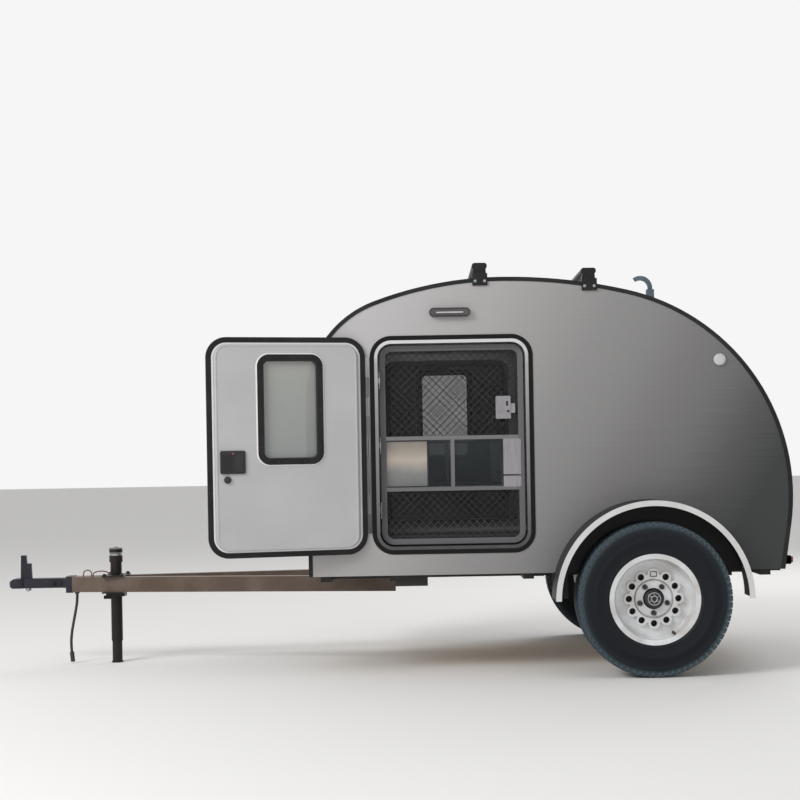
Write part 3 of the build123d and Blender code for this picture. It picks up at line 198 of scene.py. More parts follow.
def satinFilm(name, curved):
    # Satin grey film on aluminium skin, painted pale at the nose and dark at the tail as painted shade: broad soft
    # shine, faint brush lines, pale laminate on the cabin side
    material, tree, place = newMaterial(name)
    lines, grey = filmWithPaintedShade(tree, place)
    if curved:  # the outer face of a curved panel looks away from the middle of the cabin
        facing = addNode(tree, "TexCoord").outputs["Normal"]
        away = addNode(tree, "VectorMath", {0: place, 1: body["cabinMiddle"]}, operation="SUBTRACT")
        turned = addNode(tree, "VectorMath", {0: away, 1: facing}, operation="DOT_PRODUCT")
        outer = addNode(tree, "Math", {0: turned, 1: 0.0}, operation="GREATER_THAN")
    else:
        outer = fartherOut(tree, place, (body["halfWidth"] + body["innerHalfWidth"]) / 2)
    colour = addNode(tree, "Mix", {0: outer, 6: "#d6d5d2", 7: grey}, data_type="RGBA")
    metal = addNode(tree, "MapRange", {"To Max": 0.3, "Value": outer})
    return closeMaterial(material, {"Base Color": colour, "Metallic": metal},
                         (0.36, 0.48, lines), (0.05, 0.2, lines))


def powderCoat(name, colour, worn, roughness=0.45, grain=2.2):
    # Powder coat on steel: orange peel as bumps of the grain's millimetres, a little paler where it wears
    material, tree, place = newMaterial(name)
    peel = addNode(tree, "TexNoise", {"Scale": 1.0 / (grain * mm), "Detail": 2.0, "Vector": place})
    dust = addNode(tree, "TexNoise", {"Scale": 7.0, "Detail": 5.0, "Roughness": 0.6, "Vector": place})
    tint = addNode(tree, "ValToRGB", {"Fac": dust}, [(0.42, colour), (0.78, worn)])
    return closeMaterial(material, {"Base Color": tint, "Specular IOR Level": 0.3},
                         (roughness - 0.07, roughness + 0.12, dust), (0.12, 0.15, peel))


def mouldedPlastic(name, colour, paler, roughness=0.5, grain=1.2, coat=0.0):
    # Moulded plastic: even colour, leathery grain of the given millimetres
    material, tree, place = newMaterial(name)
    leather = addNode(tree, "TexVoronoi", {"Scale": 1.0 / (grain * mm), "Vector": place})
    cloud = addNode(tree, "TexNoise", {"Scale": 12.0, "Detail": 3.0, "Vector": place})
    tint = addNode(tree, "ValToRGB", {"Fac": cloud}, [(0.3, colour), (0.8, paler)])
    return closeMaterial(material, {"Base Color": tint, "Coat Weight": coat, "Coat Roughness": 0.08},
                         (roughness - 0.05, roughness + 0.08, cloud), (0.1, 0.1, leather))


def brushedMetal(name, colour, paler, roughness, brushing):
    # Brushed bare metal: fine lines that lie across the axis which the brushing scales up, soft metal shine
    material, tree, place = newMaterial(name)
    brush = addNode(tree, "Mapping", {"Scale": brushing, "Vector": place})
    lines = addNode(tree, "TexNoise", {"Scale": 12.0, "Detail": 5.0, "Vector": brush})
    tint = addNode(tree, "ValToRGB", {"Fac": lines}, [(0.3, colour), (0.7, paler)])
    return closeMaterial(material, {"Base Color": tint, "Metallic": 1.0},
                         (roughness - 0.06, roughness + 0.08, lines), (0.06, 0.1, lines))


def ringMetal(name, size, bandTo, black, metalTint, out):
    # Anodised aluminium with a black powder-coated band round it, so the ring reads as two thin lines;
    # painted highlight at the head, fading to painted shade towards the sill
    material, tree, place = newMaterial(name)
    inset = insetFromEdge(tree, place, doorway["centre"], size)
    bandFrom = -1 * mm
    middle, half = (bandFrom + bandTo) / 2, (bandTo - bandFrom) / 2
    band = addNode(tree, "Math", {0: inset, 1: middle, 2: half}, operation="COMPARE")
    dark = addNode(tree, "Math", {0: band, 1: fartherOut(tree, place, out)}, operation="MULTIPLY")
    fine = addNode(tree, "TexNoise", {"Scale": 25.0, "Detail": 4.0, "Vector": place})
    parts = addNode(tree, "SeparateXYZ", {0: place})
    bright = driftingTint(tree, parts.outputs["Z"], doorway["paintedShadeFoot"], doorway["paintedHighlightHead"], fine, 0.08, metalTint)
    colour = addNode(tree, "Mix", {0: dark, 6: bright, 7: black}, data_type="RGBA")
    metal = addNode(tree, "MapRange", {"To Min": 0.9, "To Max": 0.0, "Value": dark})
    return closeMaterial(material, {"Base Color": colour, "Metallic": metal, "Specular IOR Level": 0.2},
                         (0.28, 0.4, fine))


def doorEdgeCoat(name, standsOpen):
    # Black powder-coated extrusion round the leaf, with bare grey hinge knuckles;
    # the flange inside it is covered by the pale inner laminate
    material, tree, place = newMaterial(name)
    shut = shutPlace(tree, place, standsOpen)
    inset = insetFromEdge(tree, shut, doorway["centre"], door["leaf"])
    halfFlange = 20 * mm
    flange = addNode(tree, "Math", {0: inset, 1: door["blackBand"] + halfFlange, 2: halfFlange}, operation="COMPARE")
    outside = fartherOut(tree, shut, door["skinInner"])
    pale = addNode(tree, "Math", {0: flange, 1: outside}, operation="SUBTRACT", use_clamp=True)
    peel = addNode(tree, "TexNoise", {"Scale": 450.0, "Detail": 2.0, "Vector": place})
    dust = addNode(tree, "TexNoise", {"Scale": 9.0, "Detail": 5.0, "Vector": place})
    black = addNode(tree, "ValToRGB", {"Fac": dust}, [(0.4, "#1a181a"), (0.8, "#2b292b")])
    edge = addNode(tree, "Mix", {0: pale, 6: black, 7: "#b9b8ba"}, data_type="RGBA")
    knuckle = addNode(tree, "Math", {0: inset, 1: -0.5 * mm}, operation="LESS_THAN")
    colour = addNode(tree, "Mix", {0: knuckle, 6: edge, 7: "#79787a"}, data_type="RGBA")
    return closeMaterial(material, {"Base Color": colour, "Specular IOR Level": 0.25},
                         (0.34, 0.46, dust), (0.1, 0.15, peel))


def doorLaminate(name, standsOpen):
    # Light grey laminate on the cabin face of the leaf, and the body's satin film with its painted shade on its outer
    # skin
    material, tree, place = newMaterial(name)
    shut = shutPlace(tree, place, standsOpen)
    film = filmWithPaintedShade(tree, shut)[1]
    leather = addNode(tree, "TexVoronoi", {"Scale": 400.0, "Vector": place})
    cloud = addNode(tree, "TexNoise", {"Scale": 5.0, "Detail": 4.0, "Vector": place})
    pale = addNode(tree, "ValToRGB", {"Fac": cloud}, [(0.3, "#b7b6b8"), (0.75, "#bfbec0")])
    outside = fartherOut(tree, shut, door["skinInner"])
    colour = addNode(tree, "Mix", {0: outside, 6: pale, 7: film}, data_type="RGBA")
    return closeMaterial(material, {"Base Color": colour}, (0.4, 0.52, cloud), (0.06, 0.1, leather))


def wheelEnamel(name):
    # Off-white silver enamel on a cast wheel: soft sparkle, clouded with dust
    material, tree, place = newMaterial(name)
    flake = addNode(tree, "TexVoronoi", {"Scale": 900.0, "Vector": place})
    dust = addNode(tree, "TexNoise", {"Scale": 9.0, "Detail": 6.0, "Vector": place})
    tint = addNode(tree, "ValToRGB", {"Fac": dust}, [(0.34, "#c6c4c2"), (0.62, "#e4e6e8")])
    return closeMaterial(material, {"Base Color": tint, "Metallic": 0.2, "Coat Weight": 0.3, "Coat Roughness": 0.12},
                         (0.3, 0.44, flake), (0.03, 0.1, flake))


def tyreRubber(name):
    # Vulcanised rubber: near black and matt, with a bluish grey band over the shoulder that is partly dust and partly
    # a painted highlight, and a little grey dust on the tread
    material, tree, place = newMaterial(name)
    middle = (wheel["centre"][0], 0, wheel["centre"][1])
    local = addNode(tree, "VectorMath", {0: place, 1: middle}, operation="SUBTRACT")
    flat = addNode(tree, "VectorMath", {0: local, 1: (1, 0, 1)}, operation="MULTIPLY")
    radius = addNode(tree, "VectorMath", {0: flat}, operation="LENGTH")
    dust = addNode(tree, "TexNoise", {"Scale": 16.0, "Detail": 6.0, "Roughness": 0.65, "Vector": place})
    dusty = addNode(tree, "Math", {0: dust, 1: 0.012, 2: radius}, operation="MULTIPLY_ADD")
    spread = addNode(tree, "MapRange", {"From Min": 0.2, "From Max": 0.36, "Value": dusty})
    # The bluish grey stops from 0.78 to 0.97 make the shoulder band, partly dust and partly a painted highlight
    tint = addNode(tree, "ValToRGB", {"Fac": spread}, [
        (0.0, "#232529"), (0.18, "#181a1f"), (0.62, "#15171c"), (0.78, "#20262b"),
        (0.9, "#4e5b62"), (0.97, "#3c474d"), (1.0, "#262b2f"),
    ])
    fine = addNode(tree, "TexNoise", {"Scale": 420.0, "Detail": 3.0, "Vector": place})
    return closeMaterial(material, {"Base Color": tint, "Specular IOR Level": 0.2},
                         (0.5, 0.72, dust), (0.15, 0.2, fine))


def birchPlywood(name):
    # Lacquered birch ply: pale face with long grain and darker pores
    material, tree, place = newMaterial(name)
    along = addNode(tree, "Mapping", {"Scale": (18.0, 1.1, 18.0), "Vector": place})
    grain = addNode(tree, "TexNoise", {"Scale": 3.2, "Detail": 8.0, "Distortion": 0.6, "Vector": along})
    tint = addNode(tree, "ValToRGB", {"Fac": grain}, [(0.25, "#a9804f"), (0.75, "#dcc096")])
    lacquer = {"Roughness": 0.42, "Coat Weight": 0.15, "Coat Roughness": 0.2}
    return closeMaterial(material, {"Base Color": tint, **lacquer}, bump=(0.1, 0.2, grain))


def threadWaves(tree, place, pitch, across, distortion):
    # Two sets of threads a pitch apart, along X and another axis; a wave texture repeats every 6.3 / scale
    waves = {"Scale": 1.0 / (pitch * mm) / 6.3, "Distortion": distortion, "Vector": place}
    return [addNode(tree, "TexWave", waves, bands_direction=way) for way in ("X", across)]


def wovenCover(name, colour, paler):
    # Plain woven polyester cover: 3 mm threads, coarser than the real ones so that they show
    material, tree, place = newMaterial(name)
    warp, weft = threadWaves(tree, place, 3.0, "Y", 0.6)
    weave = addNode(tree, "Math", {0: warp, 1: weft}, operation="MULTIPLY")
    tint = addNode(tree, "ValToRGB", {"Fac": weave}, [(0.0, colour), (1.0, paler)])
    fuzz = {"Roughness": 0.9, "Sheen Weight": 0.25, "Sheen Roughness": 0.5}
    return closeMaterial(material, {"Base Color": tint, **fuzz}, bump=(0.35, 0.5, weave))


def castAcrylic(name, tints, alpha, roughness, foot, head):
    # Cast acrylic: tinted through so that what is behind it shows greyed, its tint drifting from foot to head and
    # clouded with haze; on the pale left pane the tints are a painted reflection
    material, tree, place = newMaterial(name)
    haze = addNode(tree, "TexNoise", {"Scale": 7.0, "Detail": 3.0, "Vector": place})
    parts = addNode(tree, "SeparateXYZ", {0: place})
    tint = driftingTint(tree, parts.outputs["Z"], foot, head, haze, 0.25, tints, 0.8)
    return closeMaterial(material, {"Base Color": tint, "IOR": 1.49, "Alpha": alpha},
                         (roughness, roughness + 0.1, haze))


def coatedNet(name, colour, alpha):
    # Coated glass-fibre insect net: too fine to draw, so it veils what is behind it in a 2.5 mm check
    material, tree, place = newMaterial(name)
    warp, weft = threadWaves(tree, place, 2.5, "Z", 0.0)
    weave = addNode(tree, "Math", {0: warp, 1: weft}, operation="MAXIMUM")
    veil = addNode(tree, "MapRange", {"To Min": alpha - 0.1, "To Max": alpha + 0.08, "Value": weave})
    return closeMaterial(material, {"Base Color": colour, "Roughness": 0.7, "Alpha": veil})


window = {"foot": 0.99, "head": 1.49}
bandGlass = {"foot": 0.87, "head": 1.09}
# Finishes: those of the CAD slots under the names of the slots, and the others
palette = {
    "wall_paint": satinFilm("satinFilmPaintedShadeWall", False),
    "curved": satinFilm("satinFilmPaintedShadeRoof", True),
    "edge_black": powderCoat("blackEdgeTrim", "#161617", "#2b2a2b", 0.38),
    "leafNear": doorLaminate("doorLaminateNear", True),
    "door_skin": doorLaminate("doorLaminateFar", False),
    "leafEdgeNear": doorEdgeCoat("doorEdgeCoatNear", True),
    "leafEdgeFar": doorEdgeCoat("doorEdgeCoatFar", False),
    "seal": mouldedPlastic("whiteRubberSeal", "#dcdcda", "#e6e6e4", 0.55, 1.5),
    "paleSeal": mouldedPlastic("paleGreySeal", "#b7b6b8", "#bfbec0", 0.5, 1.5),
    "gasket": mouldedPlastic("blackRubberGasket", "#161617", "#232324", 0.7, 1.5),
    # The ring's tints run from painted shade at the sill to a painted highlight at the head
    "jamb": ringMetal("doorRingAluminiumPaintedHighlight", doorway["ring"], doorway["ringFace"] + 3 * mm, "#0d0d0e", [
        (0.04, "#535254"), (0.3, "#7b7a7c"), (0.6, "#929193"), (0.9, "#b2b1b3"), (1.02, "#dddcde")], 0.755),
    "screen_frame": ringMetal(
        "screenDoorAluminiumPaintedHighlight", (screen["right"] - screen["left"], screen["height"], screen["radius"]),
        screen["stile"], "#6b6a6d", [(0.2, "#6f6e70"), (0.8, "#8a898b")], 0.7),
    "latch_black": mouldedPlastic("blackLatchNylon", "#1f1e1f", "#302f31", 0.42),
    "glassNear": castAcrylic("hazedAcrylicWindow", [(0.2, "#989b9a"), (0.8, "#a5a7a2")], 0.8, 0.16, **window),
    "window_glass": castAcrylic("clearAcrylicWindow", [(0.2, "#2b2d2e"), (0.8, "#3b3e3a")], 0.4, 0.12, **window),
    "pane": castAcrylic("darkAcrylicPane", [(0.2, "#141a1c"), (0.8, "#1f2a2c")], 0.5, 0.06, **bandGlass),
    # The pale left pane's tan and grey tints are a painted reflection of the ground
    "paneOfPaintedReflection": castAcrylic("acrylicPanePaintedReflection", [
        (0.1, "#696c6c"), (0.38, "#858684"), (0.58, "#bdb2a6"), (0.76, "#9c9389"), (0.92, "#7d7974")],
        0.92, 0.3, **bandGlass),
    "screen_mesh": powderCoat("expandedMetalGrille", "#3a393b", "#4f4e50", 0.5, 1.0),
    "netNear": coatedNet("insectNetNear", "#2b2a2c", 0.22),
    # The far net is darker and denser than the near one: painted shade on the far door and wall seen through it
    "netFar": coatedNet("insectNetFar", "#1d1d1f", 0.36),
    "plate": brushedMetal("paleLatchPlate", "#918f92", "#a6a4a7", 0.42, (20.0, 1.0, 1.0)),
    "chassis_black": powderCoat("blackChassisCoat", "#232120", "#3a3633", 0.42),
    # The tongue's black coat is painted brownish grey: a painted reflection of sandy ground
    "tongue": powderCoat("blackTongueCoatPaintedReflection", "#57493f", "#6f6157", 0.34),
    "coupler_black": powderCoat("blackCouplerCoat", "#191a22", "#2c2d35", 0.4),
    "jackTube": powderCoat("blackJackCoat", "#120d0b", "#251b15", 0.4),
    "fender_black": mouldedPlastic("blackFenderPlastic", "#0d0e0f", "#191a1b", 0.5),
    "lip_alloy": mouldedPlastic("whiteFenderEdging", "#d2d2d1", "#dfdfde", 0.34, 2.0, 0.3),
    "rack_black": powderCoat("blackRackCoat", "#141415", "#262627", 0.4),
    "arm": powderCoat("blueGreyArmCoat", "#4a5560", "#63707b", 0.34),
    "lamp_dark": mouldedPlastic("smokedLampLens", "#3a3639", "#4a4648", 0.25, 2.0, 0.6),
    "lamp_red": mouldedPlastic("redLampLens", "#7c100e", "#a01915", 0.18, 3.0, 0.8),
    "cap_white": mouldedPlastic("whiteInletPlastic", "#c4c4c3", "#d2d2d1", 0.4),
    "tyre_rubber": tyreRubber("tyreRubberDustAndPaintedHighlight"),
    "rim_silver": wheelEnamel("silverWheelEnamel"),
    "hub_black": powderCoat("blackHubCoat", "#26262a", "#434248", 0.35),
    "harness_black": mouldedPlastic("pvcCableJacket", "#1f1b1a", "#37302d", 0.5),
    "floor_ply": birchPlywood("lacqueredBirchPly"),
    "mattress_cloth": wovenCover("wovenMattressCover", "#2f2b29", "#4a4542"),
    "piping": wovenCover("wovenMattressPiping", "#1d1b1a", "#2e2b29"),
    "steel": brushedMetal("zincPlatedSteel", "#8f9092", "#bdbec1", 0.3, (40.0, 40.0, 40.0)),
    "rust": powderCoat("rustBrownRod", "#5f3f2c", "#7b5a42", 0.6, 1.0),
}
finishOf = {part["node"]: part["material_slot"] for part in frame["record"]["subparts"]}
finishOf.update({
    "roof": "curved", "hatch": "curved", "tail_sill": "curved", "roof_arm": "arm",
    "tongue_rail_near": "tongue", "tongue_rail_far": "tongue", "jack_tube": "jackTube", "jack_leg": "jackTube",
    "door_panel_near": "leafNear", "door_glass_near": "glassNear",
    "door_trim_near": "leafEdgeNear", "door_trim_far": "leafEdgeFar",
})
for name, node in nodes.items():
    node.data.materials.clear()
    node.data.materials.append(palette[finishOf[name]])
print("materials made:", len(palette))


# Shape helpers
def addObject(name, data):
    made = bpy.data.objects.new(name, data)
    bpy.context.scene.collection.objects.link(made)
    return made


def addPiece(name, mesh, rider, slot, finish=None, smooth=35):
    piece = addObject(name, mesh)
    mesh.materials.append(palette[finish or slot])  # without a finish of its own it has the slot's
    if smooth:
        for face in mesh.polygons:
            face.use_smooth = True
        mesh.set_sharp_from_angle(angle=math.radians(smooth))
    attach(piece, rider)
    return piece


def meshOf(build, *details):
    # A builder draws its piece into an empty shape
    shape = bmesh.new()
    build(shape, *details)
    bmesh.ops.recalc_face_normals(shape, faces=shape.faces)
    mesh = bpy.data.meshes.new(build.__name__)
    shape.to_mesh(mesh)
    shape.free()
    mesh.update()
    return mesh


nearDoorTurn = (
    Matrix.Translation(door["hinge"])
    @ Matrix.Rotation(math.radians(-door["openAngle"]), 4, "Z")
    @ Matrix.Translation(-Vector(door["hinge"]))
)
mirrorY = Matrix.Diagonal((1, -1, 1, 1))


def onBothSides(nearRider, farRider, rows, nearTurn=None, smooth=35):
    # A row is a builder, its slot, its finish or None, and the stem of the CAD nodes that it replaces, if any;
    # each builder draws the near side's piece, shut, and the far side's is its mirror image
    for build, slot, finish, *replaced in rows:
        made = meshOf(build)
        for side, rider, matrix in (("Near", nearRider, nearTurn), ("Far", farRider, mirrorY)):
            mesh = made.copy()
            if matrix is not None:
                mesh.transform(matrix)
            if side == "Far":
                mesh.flip_normals()
            sideFinish = "net" + side if finish == "net" else finish
            piece = addPiece(build.__name__ + side, mesh, rider, slot, sideFinish, smooth)
            for stem in replaced:
                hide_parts(stem + "_" + side.lower())
        bpy.data.meshes.remove(made)


def circle(radius, sides):
    turns = [2 * math.pi * i / sides for i in range(sides)]
    return [(radius * math.cos(turn), radius * math.sin(turn)) for turn in turns]


def pointAround(centre, radius, angle):
    turn = math.radians(angle)
    return centre[0] + radius * math.cos(turn), centre[1] + radius * math.sin(turn)


def roundedLoop(width, height, radius, steps, centre):
    loop = []
    for signX, signZ, start in ((1, 1, 0), (-1, 1, 90), (-1, -1, 180), (1, -1, 270)):
        corner = (centre[0] + signX * (width / 2 - radius), centre[1] + signZ * (height / 2 - radius))
        loop += [pointAround(corner, radius, start + 90 * i / steps) for i in range(steps + 1)]
    return loop


def joinRings(shape, rings, closed=False, capped=False, shift=0):
    # Each ring of points is joined to the next by a band of faces; a shift turns the ring that closes the row
    rings = [[shape.verts.new(point) for point in ring] for ring in rings]
    pairs = list(zip(rings, rings[1:]))
    if closed:
        pairs.append((rings[-1], rings[0][shift:] + rings[0][:shift]))
    for low, high in pairs:
        for i in range(len(low)):
            shape.faces.new((low[i - 1], low[i], high[i], high[i - 1]))
    if capped:
        shape.faces.new(rings[0][::-1])
        shape.faces.new(rings[-1])


def frameAround(shape, size, centre, section, inset=0.0, steps=10):
    # A closed section of (outset, out) pairs carried round a rounded rectangle in the X-Z plane
    width, height, radius = size
    rings = []
    for outset, out in section:
        grow = outset - inset
        loop = roundedLoop(width + 2 * grow, height + 2 * grow, max(radius + grow, 1 * mm), steps, centre)
        rings.append([(x, -out, z) for x, z in loop])
    joinRings(shape, rings, closed=True)


def addBlock(shape, centre, size, bevel=0.0, segments=2):
    made = bmesh.ops.create_cube(shape, size=1.0)["verts"]
    bmesh.ops.scale(shape, vec=size, verts=made)
    if bevel:
        edges = list({edge for vert in made for edge in vert.link_edges})
        made = bmesh.ops.bevel(shape, geom=edges, offset=bevel, segments=segments, affect="EDGES")["verts"]
    bmesh.ops.translate(shape, vec=centre, verts=made)
    return made


def addDisc(shape, centre, axis, profile, sides=20, ring=False):
    # A turned shape: (radius, height) pairs from the foot to the top, closed at both ends or into a ring
    turn = Matrix.Translation(centre) @ Vector(axis).to_track_quat("Z", "Y").to_matrix().to_4x4()
    rings = [[turn @ Vector((x, y, height)) for x, y in circle(radius, sides)] for radius, height in profile]
    joinRings(shape, rings, closed=ring, capped=not ring)


def addScrew(shape, place, axis, radius, height=None):
    # Domed head with a small drive recess
    top = height or radius * 0.55
    addDisc(shape, place, axis, [
        (radius, -0.001), (radius, top * 0.25), (radius * 0.86, top * 0.7), (radius * 0.55, top),
        (radius * 0.34, top), (radius * 0.28, top * 0.5)], 12)


def addHexNut(shape, place, axis, acrossFlats, height):
    # Washer, nut and the end of its bolt
    radius = acrossFlats / math.sqrt(3)
    for sides, profile in (
        (24, [(1.12, 0.0), (1.12, 0.14)]),
        (6, [(1.0, 0.14), (1.0, 0.9), (0.9, 1.0)]),
        (16, [(0.52, 1.0), (0.52, 1.25), (0.44, 1.35)]),
    ):
        addDisc(shape, place, axis, [(radius * wide, height * high) for wide, high in profile], sides)


def addTube(shape, path, radius, sides=10, closed=False):
    # A round rod along a list of points, its section carried along without twist
    points = [Vector(p) for p in path]
    side, rings, shift = None, [], 0
    for i, point in enumerate(points):
        before = points[i - 1] if (i or closed) else point
        after = points[(i + 1) % len(points)] if (i < len(points) - 1 or closed) else point
        along = (after - before).normalized()
        if side is None:
            side = along.orthogonal().normalized()
        side = (side - along * side.dot(along)).normalized()
        other = along.cross(side)
        rings.append([point + side * x + other * y for x, y in circle(radius, sides)])
    if closed:
        shift = min(range(sides), key=lambda k: (rings[0][k] - rings[-1][0]).length)
    joinRings(shape, rings, closed, not closed, shift)


# Camera: level, at the photograph's distance and height, rolled one degree as the photograph is
cameraPlace = {"x": 0.151, "height": 1.013, "distance": 8.76, "lens": 77.8, "roll": 1.0, "shift": (-0.02, 0.071)}
cameraData = bpy.data.cameras.new("photoCamera")
cameraData.lens = cameraPlace["lens"]
cameraData.sensor_width = 36
cameraData.shift_x, cameraData.shift_y = cameraPlace["shift"]
camera = addObject("photoCamera", cameraData)
roll = math.radians(cameraPlace["roll"])
camera.matrix_world = Matrix((
    (math.cos(roll), math.sin(roll), 0, cameraPlace["x"]),
    (0, 0, -1, -cameraPlace["distance"]),
    (-math.sin(roll), math.cos(roll), 0, cameraPlace["height"]),
    (0, 0, 0, 1),
))
bpy.context.scene.camera = camera

# Wiring harness: the same route as the CAD tube
harness = {
    "diameter": 0.014,
    "length": 0.297,
    "route": [
        (-1.574, -0.016, 0.352), (-1.574, -0.016, 0.316), (-1.583, -0.019, 0.262), (-1.594, -0.022, 0.206),
        (-1.604, -0.024, 0.15), (-1.608, -0.023, 0.096), (-1.605, -0.02, 0.058),
    ],
}
curve = bpy.data.curves.new("harnessCable", "CURVE")
curve.dimensions = "3D"
curve.bevel_depth = harness["diameter"] / 2
curve.bevel_resolution = 4
curve.resolution_u = 16
curve.use_fill_caps = True
spline = curve.splines.new("NURBS")
spline.points.add(len(harness["route"]) - 1)
for point, place in zip(spline.points, harness["route"]):
    point.co = (*place, 1.0)
spline.order_u = 3
spline.use_endpoint_u = True
cable = addObject("harnessCable", curve)
curve.materials.append(palette["harness_black"])
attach(cable, "trailer")
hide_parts("harness")
print("camera and harness set")


# Door dressing: pale seal lines round the cabin face, window sealant and screws, latch details
doorDress = {
    "seamWidth": 0.008,
    "seamOut": 0.7636,  # leaves half a millimetre to the doorway ring when the door is shut
    "sealWidth": 0.007,
    "sealProud": 0.0018,
    "sealantWidth": 0.006,
    "clampFace": 0.026,
    "windowScrews": [(0.1395, 0.17), (0.1395, 0.0), (0.1395, -0.17), (0.06, 0.237), (0.06, -0.237)],
    "ribs": 6,
}


def doorSeam(shape):
    # Flat white bulb seal at the inner border of the black edge
    foot, out, wide = door["plugOuter"] + 1 * mm, doorDress["seamOut"], doorDress["seamWidth"]
    section = [(0.0, foot), (0.0, out + 0.0002), (-0.001, out),
               (-wide + 0.001, out), (-wide, out + 0.0002), (-wide, foot)]
    frameAround(shape, door["leaf"], doorway["centre"], section, door["blackBand"])


def doorSeal(shape):
    # Bulb seal round the raised plug of the leaf
    inner, proud, wide = door["plugInner"], doorDress["sealProud"], doorDress["sealWidth"]
    section = [(0.0, inner + 0.004), (0.0006, inner), (-0.001, inner - proud), (-wide + 0.001, inner - proud),
               (-wide, inner - 0.0002), (-wide, inner + 0.004)]
    frameAround(shape, door["plug"], (door["plugCentreX"], doorway["centre"][1]), section)


def windowSealant(shape):
    wide, inner = doorDress["sealantWidth"], door["plugInner"]
    section = [(0.0, inner + 0.001), (0.0, inner - 0.0035), (wide * 0.4, inner - 0.003), (wide, inner - 0.0006),
               (wide, inner + 0.001)]
    frameAround(shape, door["window"], door["windowCentre"], section)


def windowBead(shape):
    # Rubber bead between the clamp ring and the pane
    out = door["plugInner"] - 0.006
    section = [(0.0, out + 0.004), (0.0, out + 0.0002), (-0.0035, out + 0.0012), (-0.005, out + 0.006),
               (-0.005, out + 0.012), (0.0, out + 0.012)]
    frameAround(shape, door["window"], door["windowCentre"], section, doorDress["clampFace"])


def windowScrews(shape):
    x, z = door["windowCentre"]
    for dx, dz in doorDress["windowScrews"]:
        for side in (-1, 1):
            addScrew(shape, (x + side * dx, -door["plugInner"] + 0.006, z + dz), (0, 1, 0), 0.0035)


def latchRibs(shape):
    # Ribbed paddle on the right of the plate, finger dish on its left, thin raised rim
    x, z = door["latchCentre"]
    wide, high = door["latchPlate"]
    face = -door["latchFace"]
    addBlock(shape, (x - 0.026, face + 0.001, z - 0.003), (0.04, 0.0036, high - 0.024), 0.0012)
    for i in range(doorDress["ribs"]):
        addBlock(shape, (x + 0.006 + i * 0.008, face + 0.0012, z - 0.003), (0.0042, 0.0044, high - 0.024), 0.001)
    for side in (-1, 1):
        addBlock(shape, (x, face + 0.0002, z + side * (high / 2 - 0.004)), (wide - 0.006, 0.0028, 0.004), 0.001)
        addBlock(shape, (x + side * (wide / 2 - 0.004), face + 0.0002, z), (0.004, 0.0028, high - 0.006), 0.001)
    lockX, lockZ = door["lockCentre"]
    addDisc(shape, (lockX, face, lockZ), (0, 1, 0),
            [(0.012, -0.002), (0.012, 0.0015), (0.0105, 0.0026), (0.004, 0.003)], 24)


def latchMark(shape):
    # Red dot that shows when the latch is open
    x, z = door["latchCentre"]
    addDisc(shape, (x - 0.002, -door["latchFace"], z + 0.039), (0, 1, 0),
            [(0.0048, -0.001), (0.0048, 0.002), (0.0036, 0.003)], 16)


hingeDress = {"screwX": -0.0745, "out": 0.763, "spacing": 0.088, "count": 10}


def hingeScrews(shape):
    for i in range(hingeDress["count"]):
        z = doorway["centre"][1] + (i - (hingeDress["count"] - 1) / 2) * hingeDress["spacing"]
        addScrew(shape, (hingeDress["screwX"], -hingeDress["out"], z), (0, -1, 0), 0.0032, 0.0008)


onBothSides("door_near", "door_far", (
    (doorSeam, "door_skin", "seal"),
    (doorSeal, "door_skin", "paleSeal"),
    (windowSealant, "door_skin", "seal"),
    (windowBead, "latch_black", "gasket"),
    (windowScrews, "latch_black", None),
    (latchRibs, "latch_black", None),
    (latchMark, "lamp_red", None),
), nearDoorTurn)
onBothSides("trailer", "trailer", ((hingeScrews, "jamb", "steel"),))
print("doors dressed")


# Screen doors: insect net and diamond grille above and below the band, sliding panes and a plate in the band
grille = {
    "pitch": 0.036, "strand": 0.0022, "thickness": 0.0008, "out": 0.7078, "netOut": 0.7074,
    "lines": 60, "step": 0.002, "steps": 345, "shortest": 0.006,
}


def insideScreen(x, z):
    # In the screen's rounded opening, half a stile in from its edge, and off the band
    inset = screen["stile"] / 2
    left, right, radius = screen["left"] + inset, screen["right"] - inset, screen["radius"] - inset
    top = doorway["centre"][1] + screen["height"] / 2 - inset
    bottom = doorway["centre"][1] - screen["height"] / 2 + inset
    if not (left <= x <= right and bottom <= z <= top) or screen["bandBottom"] < z < screen["bandTop"]:
        return False
    pastX, pastZ = max(left - x, x - right) + radius, max(bottom - z, z - top) + radius
    return math.hypot(max(pastX, 0), max(pastZ, 0)) <= radius


def screenGrille(shape):
    # Flat strands on both diagonals; each is one bar wherever its line runs inside the screen
    middleX, middleZ = doorway["centre"]
    lift = Vector((0, grille["thickness"] / 2, 0))
    for slope in (1, -1):
        across = Vector((1, 0, -slope)).normalized() * grille["strand"] / 2
        for line in range(-grille["lines"], grille["lines"] + 1):
            run = []
            for step in range(grille["steps"]):
                x = screen["left"] + step * grille["step"]
                z = middleZ + slope * (x - middleX) + line * grille["pitch"]
                if insideScreen(x, z):
                    run.append((x, z))
                    continue
                if run and run[-1][0] - run[0][0] >= grille["shortest"]:
                    ends = [Vector((endX, -grille["out"], endZ)) for endX, endZ in (run[0], run[-1])]
                    joinRings(shape, [[end - across - lift, end + across - lift,
                                       end + across + lift, end - across + lift] for end in ends], capped=True)
                run = []


